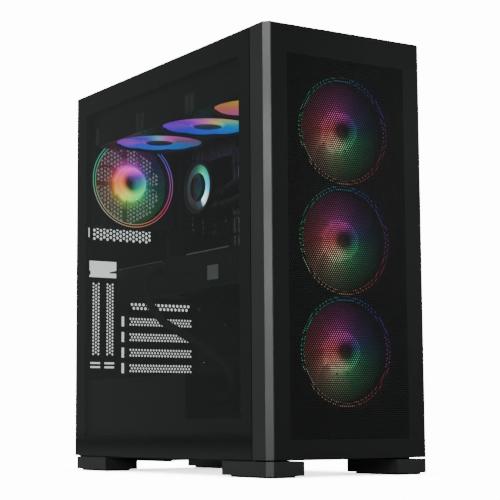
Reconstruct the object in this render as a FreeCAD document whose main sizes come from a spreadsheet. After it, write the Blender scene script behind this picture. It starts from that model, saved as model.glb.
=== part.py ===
import FreeCAD, Part
import math
import os
import re
import Sketcher

# Desktop computer tower, in millimetres.
# +Z is up, the front face looks along -Y and the glass side along -X.
# The origin is the middle of the footprint, on the surface that the feet stand on.

doc = FreeCAD.newDocument("computer_tower")
Vector = FreeCAD.Vector

# ---------------------------------------------------------------- driving sizes

SIZES = {
    # casing
    "case_width": 210,
    "case_depth": 450,
    "case_height": 480,
    "steel": 1,
    "foot_height": 17,
    "foot_width": 44,
    "front_foot_length": 92,
    "rear_foot_length": 85,
    "pad_height": 3,
    "pad_inset": 3,
    "panel_gap": 1,
    "bezel_depth": 31,
    "bezel_wall": 3,
    "bezel_chamfer": 6,
    "vent_side_border": 25,
    "vent_top_border": 30,
    "vent_bottom_border": 20,
    "rear_inset": 4,
    "glass_thickness": 4,
    "window_frame": 20,
    "top_cover_height": 16,
    "cable_space": 28,
    # expansion slots and the main board
    "shroud_height": 95,
    "slot_pitch": 20.32,
    "slot_length": 102,
    "board_above_shroud": 2,
    "board_height": 305,
    "board_depth": 244,
    "board_thickness": 1.6,
    "board_standoff": 6.5,
    "low_slot_above_board_edge": 15,
    # fans
    "fan_side": 120,
    "fan_depth": 25,
    "fan_bore": 56,
    "fan_hole_spacing": 105,
    "fan_hub": 20.5,
    "blade_tip": 54,
    "blade_count": 9,
    "shaft_radius": 1.5,
    "shaft_clearance": 0.05,
    "front_fan_lowest": 132.4,
    "rear_fan_x": -38,
    "rear_fan_z": 371.4,
    "radiator_height": 27,
    "radiator_tank": 17,
    "radiator_middle_y": 6,
    # cooler pump
    "pump_radius": 35.5,
    "pump_height": 46,
    "pump_y": 126,
    "pump_z": 360,
    "tube_radius": 6,
    # graphics card
    "card_length": 326,
    "card_height": 117,
    "card_cooler": 40,
    "card_fan_radius": 43,
    "card_fan_pitch": 93,
    "card_rear_gap": 28,
    # power supply
    "supply_width": 150,
    "supply_height": 86,
    "supply_length": 150,
    # controls
    "power_button_radius": 7,
    "reset_button_radius": 3,
    "button_clearance": 0.2,
    "button_travel": 1.5,
}

sheet = doc.addObject("Spreadsheet::Sheet", "Sizes")
for row, (alias, value) in enumerate(SIZES.items(), start=1):
    sheet.set(f"A{row}", alias)
    sheet.set(f"B{row}", str(value))
    sheet.setAlias(f"B{row}", alias)
doc.recompute()


def size(alias):
    """The number in the sheet's cell of this name."""
    return float(sheet.get(alias))


def formula(words):
    """An expression of the sheet's names, as FreeCAD reads it."""
    return re.sub(r"[a-z][a-z_]+", lambda name: f"Sizes.{name.group()}" if name.group() in SIZES
                  else name.group(), str(words))


def value(words):
    """The number that an expression of the sheet's names has now."""
    names = {alias: size(alias) for alias in SIZES}
    terms = re.sub(r"[a-z][a-z_]+", lambda name: repr(names[name.group()]), str(words))
    return FreeCAD.Units.Quantity(terms).Value


# Planes that several pieces share, each an expression of the driving sizes.
LEFT = "(-case_width / 2)"
RIGHT = "(case_width / 2)"
FRONT = "(-case_depth / 2)"
BACK = "(case_depth / 2)"
BEZEL_BACK = f"({FRONT} + bezel_depth)"
PLATE_FRONT = f"({BEZEL_BACK} + panel_gap)"
PLATE_BACK = f"({PLATE_FRONT} + steel)"
REAR_OUT = f"({BACK} - rear_inset)"
REAR_IN = f"({REAR_OUT} - steel)"
FLOOR = "(foot_height + steel)"
PANEL_LOW = f"({FLOOR} + panel_gap / 2)"
CEILING = "(case_height - top_cover_height - steel)"
GLASS_IN = f"({LEFT} + glass_thickness)"
FRAME_LEFT = f"({GLASS_IN} + panel_gap / 2)"
FRAME_IN = f"({FRAME_LEFT} + steel)"
PANEL_IN = f"({RIGHT} - steel)"
TRAY_RIGHT = f"({RIGHT} - cable_space)"
TRAY_LEFT = f"({TRAY_RIGHT} - steel)"
BOARD_RIGHT = f"({TRAY_LEFT} - board_standoff)"
BOARD_LEFT = f"({BOARD_RIGHT} - board_thickness)"
SHROUD_TOP = "(foot_height + steel + shroud_height)"
BOARD_LOW = f"({SHROUD_TOP} + board_above_shroud)"
BOARD_HIGH = f"({BOARD_LOW} + board_height)"
BOARD_BACK = f"({REAR_IN} - 1.5)"
BOARD_FRONT = f"({BOARD_BACK} - board_depth)"
LOW_SLOT = f"({BOARD_LOW} + low_slot_above_board_edge)"
RADIATOR_LOW = f"({CEILING} - radiator_height)"
TOP_FAN_LOW = f"({RADIATOR_LOW} - fan_depth)"


def slot_z(number):
    """Height of a slot's middle; 0 is the lowest."""
    return f"({LOW_SLOT} + {number} * slot_pitch)"


# ---------------------------------------------------------------- ways of making

kept = []


def keep(thing, label):
    """Marks an object of the document as a sub-part and gives it its name."""
    thing.Label = label
    kept.append(thing)
    return thing


def block(name, x, y, z):
    """A box between two expressions on each axis."""
    box = doc.addObject("Part::Box", name)
    for prop, axis, (low, high) in (("Length", "x", x), ("Width", "y", y), ("Height", "z", z)):
        box.setExpression(prop, formula(f"({high}) - ({low})"))
        box.setExpression(f"Placement.Base.{axis}", formula(low))
    return box


TURNS = {
    "+X": FreeCAD.Rotation(Vector(0, 1, 0), 90),
    "-X": FreeCAD.Rotation(Vector(0, 1, 0), -90),
    "+Y": FreeCAD.Rotation(Vector(1, 0, 0), -90),
    "-Y": FreeCAD.Rotation(Vector(1, 0, 0), 90),
    "+Z": FreeCAD.Rotation(),
    "-Z": FreeCAD.Rotation(Vector(1, 0, 0), 180),
}


def place(thing, x, y, z, facing="+Z"):
    """Turns an object so that its own +Z faces a given way, and moves it."""
    thing.Placement = FreeCAD.Placement(Vector(), TURNS[facing])
    for axis, words in (("x", x), ("y", y), ("z", z)):
        thing.setExpression(f"Placement.Base.{axis}", formula(words))
    return thing


def rod(name, x, y, z, facing, radius, length):
    """A cylinder that starts at a point and runs the way it faces."""
    cylinder = doc.addObject("Part::Cylinder", name)
    cylinder.setExpression("Radius", formula(radius))
    cylinder.setExpression("Height", formula(length))
    return place(cylinder, x, y, z, facing)


def group(name, things):
    """Several separate solids as one shape."""
    compound = doc.addObject("Part::Compound", name)
    compound.Links = things
    return compound


def cut(name, base, tools):
    """A solid with tools taken out of it; the tools don't overlap each other."""
    result = doc.addObject("Part::Cut", name)
    result.Base = base
    result.Tool = tools[0] if len(tools) == 1 else group(name + "_tools", tools)
    return result


def fuse(name, things):
    """Several touching solids as one."""
    result = doc.addObject("Part::MultiFuse", name)
    result.Shapes = things
    result.Refine = True
    return result


def copy(name, master, x, y, z, facing):
    """One more of a piece that is modelled about its own origin."""
    return place(group(name, [master]), x, y, z, facing)


def origin_part(body, role):
    """An origin plane or axis of a body."""
    return [feature for feature in body.Origin.OriginFeatures if feature.Role == role][0]


def sketch_on(body, role, name, offset=None):
    """A sketch on one of the body's own origin planes."""
    sketch = body.newObject("Sketcher::SketchObject", name)
    sketch.AttachmentSupport = (origin_part(body, role), [""])
    sketch.MapMode = "FlatFace"
    if offset:
        sketch.setExpression("AttachmentOffset.Base.z", formula(offset))
    return sketch


def fix_point(sketch, geometry, point, words):
    """Holds a point of the sketch at two expressions from its origin."""
    for kind, place_words in zip(("DistanceX", "DistanceY"), words):
        index = sketch.addConstraint(Sketcher.Constraint(kind, -1, 1, geometry, point, 1.0))
        sketch.setExpression(f"Constraints[{index}]", formula(place_words))


def outline(sketch, corners):
    """A closed outline of straight edges through corners given as expressions."""
    spots = [Vector(value(x), value(y), 0) for x, y in corners]
    first = sketch.GeometryCount
    count = len(corners)
    for index in range(count):
        edge = Part.LineSegment(spots[index], spots[(index + 1) % count])
        sketch.addGeometry(edge, False)
    for index in range(count):
        following = first + (index + 1) % count
        sketch.addConstraint(Sketcher.Constraint("Coincident", first + index, 2, following, 1))
        fix_point(sketch, first + index, 1, corners[index])


def circle(sketch, x, y, radius):
    """A circle whose centre and radius are expressions."""
    middle = Vector(value(x), value(y), 0)
    shape = Part.Circle(middle, Vector(0, 0, 1), value(radius))
    geometry = sketch.addGeometry(shape, False)
    fix_point(sketch, geometry, 3, (x, y))
    index = sketch.addConstraint(Sketcher.Constraint("Radius", geometry, value(radius)))
    sketch.setExpression(f"Constraints[{index}]", formula(radius))


def rectangle(x, y):
    """The four corners of a rectangle, each side an expression."""
    return [(x[0], y[0]), (x[1], y[0]), (x[1], y[1]), (x[0], y[1])]


def pad(body, sketch, length, reverse=False):
    """Raises a sketch by a length."""
    feature = body.newObject("PartDesign::Pad", sketch.Name + "_pad")
    feature.Profile = sketch
    feature.setExpression("Length", formula(length))
    feature.Reversed = reverse
    doc.recompute()
    return feature


def pocket(body, sketch, length, reverse=False):
    """Sinks a sketch by a length, and checks that it took something away."""
    before = body.Shape.Volume
    feature = body.newObject("PartDesign::Pocket", sketch.Name + "_pocket")
    feature.Profile = sketch
    feature.setExpression("Length", formula(length))
    feature.Reversed = reverse
    doc.recompute()
    if body.Shape.Volume >= before - 1e-6:
        raise ValueError(f"{feature.Name} cuts nothing")
    return feature


def hexagons(name, centres, across, thickness):
    """Six-sided prisms, flat to flat across, that run along their own +Z."""
    prisms = []
    corner = across / math.sqrt(3)
    for x, y in centres:
        ring = [Vector(x + corner * math.cos(math.radians(60 * k)),
                       y + corner * math.sin(math.radians(60 * k)), 0) for k in range(6)]
        face = Part.Face(Part.makePolygon(ring + [ring[0]]))
        prisms.append(face.extrude(Vector(0, 0, thickness)))
    feature = doc.addObject("Part::Feature", name)
    feature.Shape = Part.makeCompound(prisms)
    return feature


def honeycomb(width, height, across_pitch, up_pitch):
    """Centres of staggered columns that fill a width and a height about 0, 0."""
    columns = int(width // across_pitch)
    start = -across_pitch * (columns - 1) / 2
    centres = []
    for column in range(columns):
        rows = int(height // up_pitch) - column % 2
        low = -up_pitch * (rows - 1) / 2
        centres += [(start + column * across_pitch, low + row * up_pitch) for row in range(rows)]
    return centres


# ---------------------------------------------------------------- chassis

# Floor: a flat steel pan with the supply's intake and the rails of its dust filter.
SUPPLY_LOW = f"({FLOOR} + 2)"
SUPPLY_BACK = f"({REAR_IN} - 0.2)"
SUPPLY_MIDDLE_Y = f"({SUPPLY_BACK} - supply_length / 2)"
RAIL_X = f"({RIGHT} - foot_width - 2)"
pan = block("pan_sheet", (FRAME_IN, f"{PANEL_IN} - 0.5"), (PLATE_BACK, REAR_IN), ("foot_height", FLOOR))
intake = rod("pan_intake", 0, SUPPLY_MIDDLE_Y, "foot_height - 1", "+Z", "fan_bore", "steel + 2")
rails = []
for side, sign in (("left", "-"), ("right", "")):
    outer = f"{sign}({RAIL_X})"
    inner = f"{sign}({RAIL_X} - steel)"
    lip = f"{sign}({RAIL_X} - 5)"
    x_web = (outer, inner) if sign else (inner, outer)
    x_lip = (outer, lip) if sign else (lip, outer)
    y_rail = (f"{REAR_IN} - rear_foot_length * 1.9", REAR_IN)
    rails.append(block(f"rail_web_{side}", x_web, y_rail, ("foot_height - 5", "foot_height")))
    rails.append(block(f"rail_lip_{side}", x_lip, y_rail, ("foot_height - 5", "foot_height - 4")))
keep(fuse("base_pan", [cut("pan_open", pan, [intake])] + rails), "base_pan")

# Roof: a flat steel plate with a long opening over the radiator.
roof = block("roof_sheet", (FRAME_IN, f"{PANEL_IN} - 0.5"), (PLATE_BACK, REAR_IN),
             (CEILING, f"{CEILING} + steel"))
ROOF_HOLE_X = ("rear_fan_x - fan_side / 2 + 5", "rear_fan_x + fan_side / 2 - 5")
ROOF_HOLE_Y = ("radiator_middle_y - 1.5 * fan_side", "radiator_middle_y + 1.5 * fan_side")
roof_hole = block("roof_hole", ROOF_HOLE_X, ROOF_HOLE_Y, (f"{CEILING} - 1", f"{CEILING} + steel + 1"))
keep(cut("top_plate", roof, [roof_hole]), "top_plate")

# Front wall: a steel plate with three fan openings, their screw holes and the snap holes.
BODY_X = (FRAME_LEFT, f"{PANEL_IN} - 0.5")
wall = doc.addObject("PartDesign::Body", "front_wall")
wall_sketch = sketch_on(wall, "XZ_Plane", "front_wall_outline", f"-({PLATE_BACK})")
outline(wall_sketch, rectangle(BODY_X, ("foot_height", f"{CEILING} + steel")))
FRONT_FANS = [f"(front_fan_lowest + {number} * fan_side)" for number in range(3)]
HOLE_OFFSETS = ((-1, -1), (-1, 1), (1, -1), (1, 1))
for fan_z in FRONT_FANS:
    circle(wall_sketch, 0, fan_z, "fan_bore")
    for across, up in HOLE_OFFSETS:
        circle(wall_sketch, f"{across} * fan_hole_spacing / 2", f"{fan_z} + {up} * fan_hole_spacing / 2", 2.2)
SNAP_X = f"({RIGHT} - 13)"
SNAP_Z = (f"({FLOOR} + 20)", f"({CEILING} - 38)")
SNAP_RADIUS = 3
for across in (-1, 1):
    for snap_z in SNAP_Z:
        circle(wall_sketch, f"{across} * {SNAP_X}", snap_z, SNAP_RADIUS + 0.3)
pad(wall, wall_sketch, "steel")
keep(wall, "front_plate")

# Side frame: the flat steel rim that the glass closes against.
WINDOW_Y = (f"{PLATE_FRONT} + window_frame - 2", f"{REAR_OUT} - window_frame + 2")
WINDOW_Z = (f"{FLOOR} + window_frame", f"{CEILING} - window_frame / 4")
rim = doc.addObject("PartDesign::Body", "side_rim")
rim_sketch = sketch_on(rim, "YZ_Plane", "side_rim_outline", FRAME_LEFT)
outline(rim_sketch, rectangle((PLATE_BACK, REAR_IN), ("foot_height", f"{CEILING} + steel")))
outline(rim_sketch, rectangle(WINDOW_Y, WINDOW_Z))
pad(rim, rim_sketch, "steel")
keep(rim, "left_frame")

# Board tray: the inner wall with pressed-in posts for the main board, and cable openings ahead of it.
tray_sheet = block("tray_sheet", (TRAY_LEFT, TRAY_RIGHT), (PLATE_BACK, REAR_IN), (FLOOR, CEILING))
SOCKET_HOLE = ("pump_z - 40", "pump_z + 40")
tray_holes = [block("tray_socket_hole", (f"{TRAY_LEFT} - 1", f"{TRAY_RIGHT} + 1"),
                    ("pump_y - 45", "pump_y + 45"), SOCKET_HOLE)]
GROMMET_Y = (f"{BOARD_FRONT} - 45", f"{BOARD_FRONT} - 15")
GROMMETS_Z = [(f"{BOARD_LOW} + {low}", f"{BOARD_LOW} + {low} + 70") for low in (20, 110, 200)]
for number, grommet_z in enumerate(GROMMETS_Z):
    tray_holes.append(block(f"tray_cable_hole_{number}", (f"{TRAY_LEFT} - 1", f"{TRAY_RIGHT} + 1"),
                            GROMMET_Y, grommet_z))
tray_holes.append(block("tray_low_hole", (f"{TRAY_LEFT} - 1", f"{TRAY_RIGHT} + 1"),
                        (f"{SUPPLY_BACK} - supply_length - 70", f"{SUPPLY_BACK} - supply_length - 10"),
                        (f"{FLOOR} + 20", f"{SHROUD_TOP} - 20")))
tray_posts = []
for row, post_z in enumerate((6, 160, 295)):
    for column, post_y in enumerate((16, 100, 235)):
        tray_posts.append(rod(f"standoff_{row}_{column}", BOARD_RIGHT, f"{BOARD_BACK} - {post_y}",
                              f"{BOARD_LOW} + {post_z}", "+X", 2.6, "board_standoff"))
keep(fuse("board_tray", [cut("tray_open", tray_sheet, tray_holes)] + tray_posts), "motherboard_tray")

grommets = []
for number, grommet_z in enumerate(GROMMETS_Z):
    lip = 3
    skirt = block(f"grommet_{number}_skirt", (f"{TRAY_LEFT} - 2", TRAY_LEFT),
                  (f"{GROMMET_Y[0]} - {lip}", f"{GROMMET_Y[1]} + {lip}"),
                  (f"{grommet_z[0]} - {lip}", f"{grommet_z[1]} + {lip}"))
    slit = block(f"grommet_{number}_slit", (f"{TRAY_LEFT} - 3", f"{TRAY_LEFT} + 1"),
                 (f"({GROMMET_Y[0]} + {GROMMET_Y[1]}) / 2 - 5", f"({GROMMET_Y[0]} + {GROMMET_Y[1]}) / 2 + 5"),
                 (f"{grommet_z[0]} + 5", f"{grommet_z[1]} - 5"))
    grommets.append(cut(f"grommet_{number}", skirt, [slit]))
keep(group("grommets", grommets), "cable_grommets")

# Supply cover: a lid over the power supply, folded down along the glass side.
# Its side wall drops to a low lip ahead of the lid.
LID_FRONT = f"({REAR_IN} - 265)"
LIP_HIGH = f"({FLOOR} + 44)"
lid = block("shroud_lid", (FRAME_IN, f"{TRAY_LEFT} - 0.2"), (LID_FRONT, REAR_IN), (f"{SHROUD_TOP} - steel",
                                                                                   SHROUD_TOP))
side = block("shroud_side", (FRAME_IN, f"{FRAME_IN} + steel"), (LID_FRONT, REAR_IN),
             (FLOOR, f"{SHROUD_TOP} - steel"))
lip = block("shroud_lip", (FRAME_IN, f"{FRAME_IN} + steel"), (PLATE_BACK, LID_FRONT), (FLOOR, LIP_HIGH))
keep(fuse("shroud", [lid, side, lip]), "psu_shroud")

# ---------------------------------------------------------------- rear wall

COVER_MIDDLE_X = 17
COVERS = (3, 2, 1, 0)
VERTICAL_X = (-79.4, -59.1)
REAR_THICK = "steel + 2"


def rear_tool(name, x, z):
    """A box that goes through the rear wall."""
    return block(name, x, (f"{REAR_IN} - 1", f"{REAR_OUT} + 1"), z)


rear_sheet = block("rear_sheet", (FRAME_LEFT, f"{PANEL_IN} - 0.5"), (REAR_IN, REAR_OUT),
                   ("foot_height", f"{CEILING} + steel"))
rear_tools = []
grille = hexagons("fan_grille_holes",
                  [(x, y) for x, y in honeycomb(112, 112, 4.8, 5.5) if 19 < math.hypot(x, y) < 52.5],
                  3.9, size("steel") + 2)
rear_tools.append(place(grille, "rear_fan_x", f"{REAR_OUT} + 1", "rear_fan_z", "-Y"))
for number, (across, up) in enumerate(HOLE_OFFSETS):
    rear_tools.append(rod(f"rear_fan_hole_{number}", f"rear_fan_x + {across} * fan_hole_spacing / 2",
                          f"{REAR_OUT} + 1", f"rear_fan_z + {up} * fan_hole_spacing / 2",
                          "-Y", 2.2, REAR_THICK))
VENT_BAND_Z = "(rear_fan_z - fan_side / 2 - 5.4)"
band = hexagons("vent_band_holes", honeycomb(87, 22.5, 4.8, 5.5), 3.7, size("steel") + 2)
rear_tools.append(place(band, "rear_fan_x - 3", f"{REAR_OUT} + 1", VENT_BAND_Z, "-Y"))
IO_X = (f"{BOARD_LEFT} - 42.5", f"{BOARD_LEFT} + 2")
IO_Z = (f"{BOARD_HIGH} - 158.5", f"{BOARD_HIGH} + 0.5")
rear_tools.append(rear_tool("io_opening", IO_X, IO_Z))
PASS_X = ("rear_fan_x - 50.8", "rear_fan_x - 11.4")
PASS_Z = (f"{slot_z(5)} + 15.6", f"{slot_z(5)} + 36.9")
rear_tools.append(rear_tool("cable_window", PASS_X, PASS_Z))
rear_tools.append(rear_tool("band_slit", ("rear_fan_x - 54.5", "rear_fan_x - 50.5"),
                            (f"{VENT_BAND_Z} - 7", f"{VENT_BAND_Z} + 7")))
for number in range(7):
    rear_tools.append(rear_tool(f"slot_opening_{number}", (COVER_MIDDLE_X - 51, COVER_MIDDLE_X + 51),
                                (f"{slot_z(number)} - 6.5", f"{slot_z(number)} + 6.5")))
    if number in COVERS:
        rear_tools.append(rear_tool(f"tab_slit_{number}", (COVER_MIDDLE_X - 58.6, COVER_MIDDLE_X - 54.6),
                                    (f"{slot_z(number)} - 6.5", f"{slot_z(number)} + 6.5")))
for number, slot_x in enumerate(VERTICAL_X):
    rear_tools.append(rear_tool(f"upright_opening_{number}", (slot_x - 6, slot_x + 6),
                                (f"{LOW_SLOT} + 13", f"{LOW_SLOT} + 113")))
    for step, slit_z in enumerate((6, 0.8)):
        rear_tools.append(rear_tool(f"upright_slit_{number}_{step}", (slot_x - 7.5, slot_x + 7),
                                    (f"{LOW_SLOT} + {slit_z} - 1.2", f"{LOW_SLOT} + {slit_z} + 1.2")))
SUPPLY_X = ("-supply_width / 2", "supply_width / 2")
SUPPLY_Z = (SUPPLY_LOW, f"{SUPPLY_LOW} + supply_height")
rear_tools.append(rear_tool("supply_opening", (f"{SUPPLY_X[0]} + 5", f"{SUPPLY_X[1]} - 5"),
                            (f"{SUPPLY_Z[0]} + 4", f"{SUPPLY_Z[1]} - 4")))
keep(cut("rear_wall", rear_sheet, rear_tools), "rear_panel")


def slot_cover(name, x, z, upright):
    """A blank steel strip with three staggered columns of hexagonal holes."""
    strip = block(name + "_strip", x, (f"{REAR_IN} - 1", REAR_IN), z)
    holes = hexagons(name + "_holes", honeycomb(12.5, 98.5, 3.75, 4.33), 2.8, 3)
    middle = (f"({x[0]} + {x[1]}) / 2", f"{REAR_IN} + 1", f"({z[0]} + {z[1]}) / 2")
    place(holes, *middle, "-Y")
    if not upright:
        turned = FreeCAD.Rotation(Vector(0, 1, 0), 90).multiply(TURNS["-Y"])
        holes.Placement = FreeCAD.Placement(holes.Placement.Base, turned)
    return cut(name, strip, [holes])


# Slot covers: blank strips, flat behind the rear wall, each with a foot for its screw.
covers = []
for number in COVERS:
    strip = slot_cover(f"cover_{number}", (COVER_MIDDLE_X - 54, COVER_MIDDLE_X + 53),
                       (f"{slot_z(number)} - 9", f"{slot_z(number)} + 9"), False)
    foot = block(f"cover_{number}_foot", (COVER_MIDDLE_X - 55, COVER_MIDDLE_X - 54),
                 (f"{REAR_IN} - 12", REAR_IN), (f"{slot_z(number)} - 9", f"{slot_z(number)} + 9"))
    covers.append(fuse(f"slot_cover_{number}", [strip, foot]))
keep(group("covers", covers), "slot_covers")
uprights = [slot_cover(f"upright_cover_{number}", (slot_x - 9, slot_x + 9),
                       (f"{LOW_SLOT} + 10", f"{LOW_SLOT} + 116"), True)
            for number, slot_x in enumerate(VERTICAL_X)]
keep(group("uprights", uprights), "vertical_slot_covers")

# ---------------------------------------------------------------- feet

foot_x = {"left": (LEFT, f"{LEFT} + foot_width"), "right": (f"{RIGHT} - foot_width", RIGHT)}
foot_y = {"front": (FRONT, f"{FRONT} + front_foot_length"), "rear": (f"{BACK} - rear_foot_length", BACK)}
feet = []
pads = []
for side, x in foot_x.items():
    for end, y in foot_y.items():
        name = f"foot_{end}_{side}"
        foot = doc.addObject("PartDesign::Body", name)
        plan = sketch_on(foot, "XY_Plane", name + "_plan", "pad_height - 1")
        outer = x[0] if side == "left" else x[1]
        inner = x[1] if side == "left" else x[0]
        inward = "+" if side == "left" else "-"
        tip = y[0] if end == "front" else y[1]
        root = y[1] if end == "front" else y[0]
        back = "+" if end == "front" else "-"
        outline(plan, [(inner, root), (outer, root), (outer, f"{tip} {back} bezel_chamfer"),
                       (f"{outer} {inward} bezel_chamfer", tip), (inner, tip)])
        pad(foot, plan, "foot_height - pad_height + 1")
        seat = sketch_on(foot, "XY_Plane", name + "_seat", "pad_height - 1")
        seat_x = (f"{x[0]} + pad_inset + 4", f"{x[1]} - pad_inset - 4")
        seat_y = (f"{y[0]} + pad_inset + 4", f"{y[1]} - pad_inset - 4")
        outline(seat, rectangle(seat_x, seat_y))
        pocket(foot, seat, 1, reverse=True)
        feet.append(foot)
        pads.append(block(name + "_pad", seat_x, seat_y, (0, "pad_height")))
keep(group("feet", feet), "feet")
keep(group("foot_pads", pads), "foot_pads")

# ---------------------------------------------------------------- fans

# Fan frame, about its own origin: the open side faces +Z at 0, the struts are at the far side.
fan_frame = doc.addObject("PartDesign::Body", "fan_frame")
HALF = "fan_side / 2"
CORNER = 5
ring = sketch_on(fan_frame, "XY_Plane", "fan_frame_ring")
outline(ring, [(f"-{HALF} + {CORNER}", f"-{HALF}"), (f"{HALF} - {CORNER}", f"-{HALF}"),
               (HALF, f"-{HALF} + {CORNER}"), (HALF, f"{HALF} - {CORNER}"),
               (f"{HALF} - {CORNER}", HALF), (f"-{HALF} + {CORNER}", HALF),
               (f"-{HALF}", f"{HALF} - {CORNER}"), (f"-{HALF}", f"-{HALF} + {CORNER}")])
circle(ring, 0, 0, "fan_bore")
for across, up in HOLE_OFFSETS:
    circle(ring, f"{across} * fan_hole_spacing / 2", f"{up} * fan_hole_spacing / 2", 2.2)
pad(fan_frame, ring, "fan_depth", reverse=True)
seat = sketch_on(fan_frame, "XY_Plane", "fan_frame_seat", "-fan_depth")
circle(seat, 0, 0, "fan_hub + 1")
circle(seat, 0, 0, "shaft_radius + shaft_clearance")
pad(fan_frame, seat, 3)
strut = sketch_on(fan_frame, "XY_Plane", "fan_frame_strut", "-fan_depth")
outline(strut, rectangle(("fan_hub", "fan_bore + 1"), (-2.5, 2.5)))
strut_pad = pad(fan_frame, strut, 3)
struts = fan_frame.newObject("PartDesign::PolarPattern", "fan_frame_struts")
struts.Originals = [strut_pad]
struts.Axis = (origin_part(fan_frame, "Z_Axis"), [""])
struts.Angle = 360
struts.Occurrences = 4
fan_frame.Tip = struts
bearing = sketch_on(fan_frame, "XY_Plane", "fan_frame_bearing", "3 - fan_depth")
circle(bearing, 0, 0, 4)
circle(bearing, 0, 0, "shaft_radius + shaft_clearance")
pad(fan_frame, bearing, "fan_depth - 14")


def rotor_body(name, hub, tip, depth, blades):
    """A fan rotor: a cup with a shaft inside it, and slanted blades around it."""
    body = doc.addObject("PartDesign::Body", name)
    section = sketch_on(body, "XZ_Plane", name + "_hub")
    low = f"-({depth}) + 4.5"
    outline(section, [(0, -1), (f"{hub} - 1.5", -1), (hub, -2.5), (hub, low), (f"{hub} - 1.5", low),
                      (f"{hub} - 1.5", -3), ("shaft_radius", -3), ("shaft_radius", f"-({depth}) + 0.5"),
                      (0, f"-({depth}) + 0.5")])
    turn = body.newObject("PartDesign::Revolution", name + "_turned")
    turn.Profile = section
    turn.ReferenceAxis = (origin_part(body, "Z_Axis"), [""])
    turn.Angle = 360
    doc.recompute()
    blade = sketch_on(body, "YZ_Plane", name + "_blade", f"{hub} - 1")
    reach = f"({depth}) * 0.42"
    outline(blade, [(f"-{reach}", f"{low} + 0.5"), (f"1.4 - {reach}", f"{low} + 0.5"),
                    (f"1.4 + {reach}", -3), (reach, -3)])
    blade_pad = pad(body, blade, f"{tip} - {hub} + 1 - 0.8")
    pattern = body.newObject("PartDesign::PolarPattern", name + "_blades")
    pattern.Originals = [blade_pad]
    pattern.Axis = (origin_part(body, "Z_Axis"), [""])
    pattern.Angle = 360
    pattern.setExpression("Occurrences", formula(blades))
    body.Tip = pattern
    return body


rotor = rotor_body("fan_rotor", "fan_hub", "blade_tip", "fan_depth", "blade_count")

FRONT_FAN_Y = f"({PLATE_FRONT} - fan_depth)"
REAR_FAN_Y = f"({REAR_IN} - fan_depth)"
TOP_FANS = [f"(radiator_middle_y + {1 - number} * fan_side)" for number in range(3)]
front_frames = [copy(f"front_frame_{number}", fan_frame, 0, FRONT_FAN_Y, fan_z, "-Y")
                for number, fan_z in enumerate(FRONT_FANS, start=1)]
keep(group("front_frames", front_frames), "front_fan_frames")
top_frames = [copy(f"top_frame_{number}", fan_frame, "rear_fan_x", fan_y, TOP_FAN_LOW, "-Z")
              for number, fan_y in enumerate(TOP_FANS, start=1)]
keep(group("top_frames", top_frames), "radiator_fan_frames")
keep(copy("rear_frame", fan_frame, "rear_fan_x", REAR_FAN_Y, "rear_fan_z", "-Y"), "rear_fan_frame")
for number, fan_z in enumerate(FRONT_FANS, start=1):
    keep(copy(f"front_spin_{number}", rotor, 0, FRONT_FAN_Y, fan_z, "-Y"), f"front_fan_rotor_{number}")
for number, fan_y in enumerate(TOP_FANS, start=1):
    keep(copy(f"top_spin_{number}", rotor, "rear_fan_x", fan_y, TOP_FAN_LOW, "-Z"),
         f"radiator_fan_rotor_{number}")
keep(copy("rear_spin", rotor, "rear_fan_x", REAR_FAN_Y, "rear_fan_z", "-Y"), "rear_fan_rotor")

# ---------------------------------------------------------------- cooler

# Radiator: a finned core between two tanks, with two hose fittings under the front tank.
RADIATOR_X = (f"rear_fan_x - {HALF}", f"rear_fan_x + {HALF}")
CORE_Y = ("radiator_middle_y - 1.5 * fan_side", "radiator_middle_y + 1.5 * fan_side")
core = block("radiator_core", RADIATOR_X, CORE_Y, (RADIATOR_LOW, CEILING))
tanks = [block("front_tank", (f"{RADIATOR_X[0]} + 4", f"{RADIATOR_X[1]} - 4"),
               (f"{CORE_Y[0]} - radiator_tank", CORE_Y[0]), (f"{RADIATOR_LOW} + 1", f"{CEILING} - 1")),
         block("rear_tank", (f"{RADIATOR_X[0]} + 4", f"{RADIATOR_X[1]} - 4"),
               (CORE_Y[1], f"{CORE_Y[1]} + radiator_tank"), (f"{RADIATOR_LOW} + 1", f"{CEILING} - 1"))]
FITTING_Y = f"({CORE_Y[0]} - radiator_tank / 2)"
FITTING_X = ("(rear_fan_x + 46)", "(rear_fan_x + 24)")
fittings = []
for number, fitting_x in enumerate(FITTING_X):
    collar = rod(f"fitting_collar_{number}", fitting_x, FITTING_Y, f"{RADIATOR_LOW} + 1", "-Z",
                 "tube_radius + 2", 16)
    fittings.append(collar)
keep(fuse("cooler_radiator", [core] + tanks + fittings), "radiator")

# Pump: a round block on the processor, with a flat base plate and two hose outlets.
PUMP_BASE = f"({BOARD_LEFT} - 4)"
PUMP_FACE = f"({PUMP_BASE} - pump_height)"
plate = block("pump_plate", (f"{PUMP_BASE} - 4", PUMP_BASE), ("pump_y - 29", "pump_y + 29"),
              ("pump_z - 29", "pump_z + 29"))
barrel = rod("pump_barrel", f"{PUMP_BASE} - 4", "pump_y", "pump_z", "-X", "pump_radius - 1",
             "pump_height - 8")
OUTLET_X = f"({PUMP_FACE} + tube_radius + 5.6)"
OUTLET_DROPS = (11, 27)
outlets = [rod(f"pump_outlet_{number}", OUTLET_X, "pump_y - 10", f"pump_z - {drop}", "-Y",
               "tube_radius + 1.5",
               "pump_radius - 3")
           for number, drop in enumerate(OUTLET_DROPS)]
keep(fuse("pump_housing", [plate, barrel] + outlets), "pump_block")
cap = rod("pump_cap_disc", f"{PUMP_FACE} + 4", "pump_y", "pump_z", "-X", "pump_radius", 4)
keep(group("pump_top", [cap]), "pump_cap")

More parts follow.
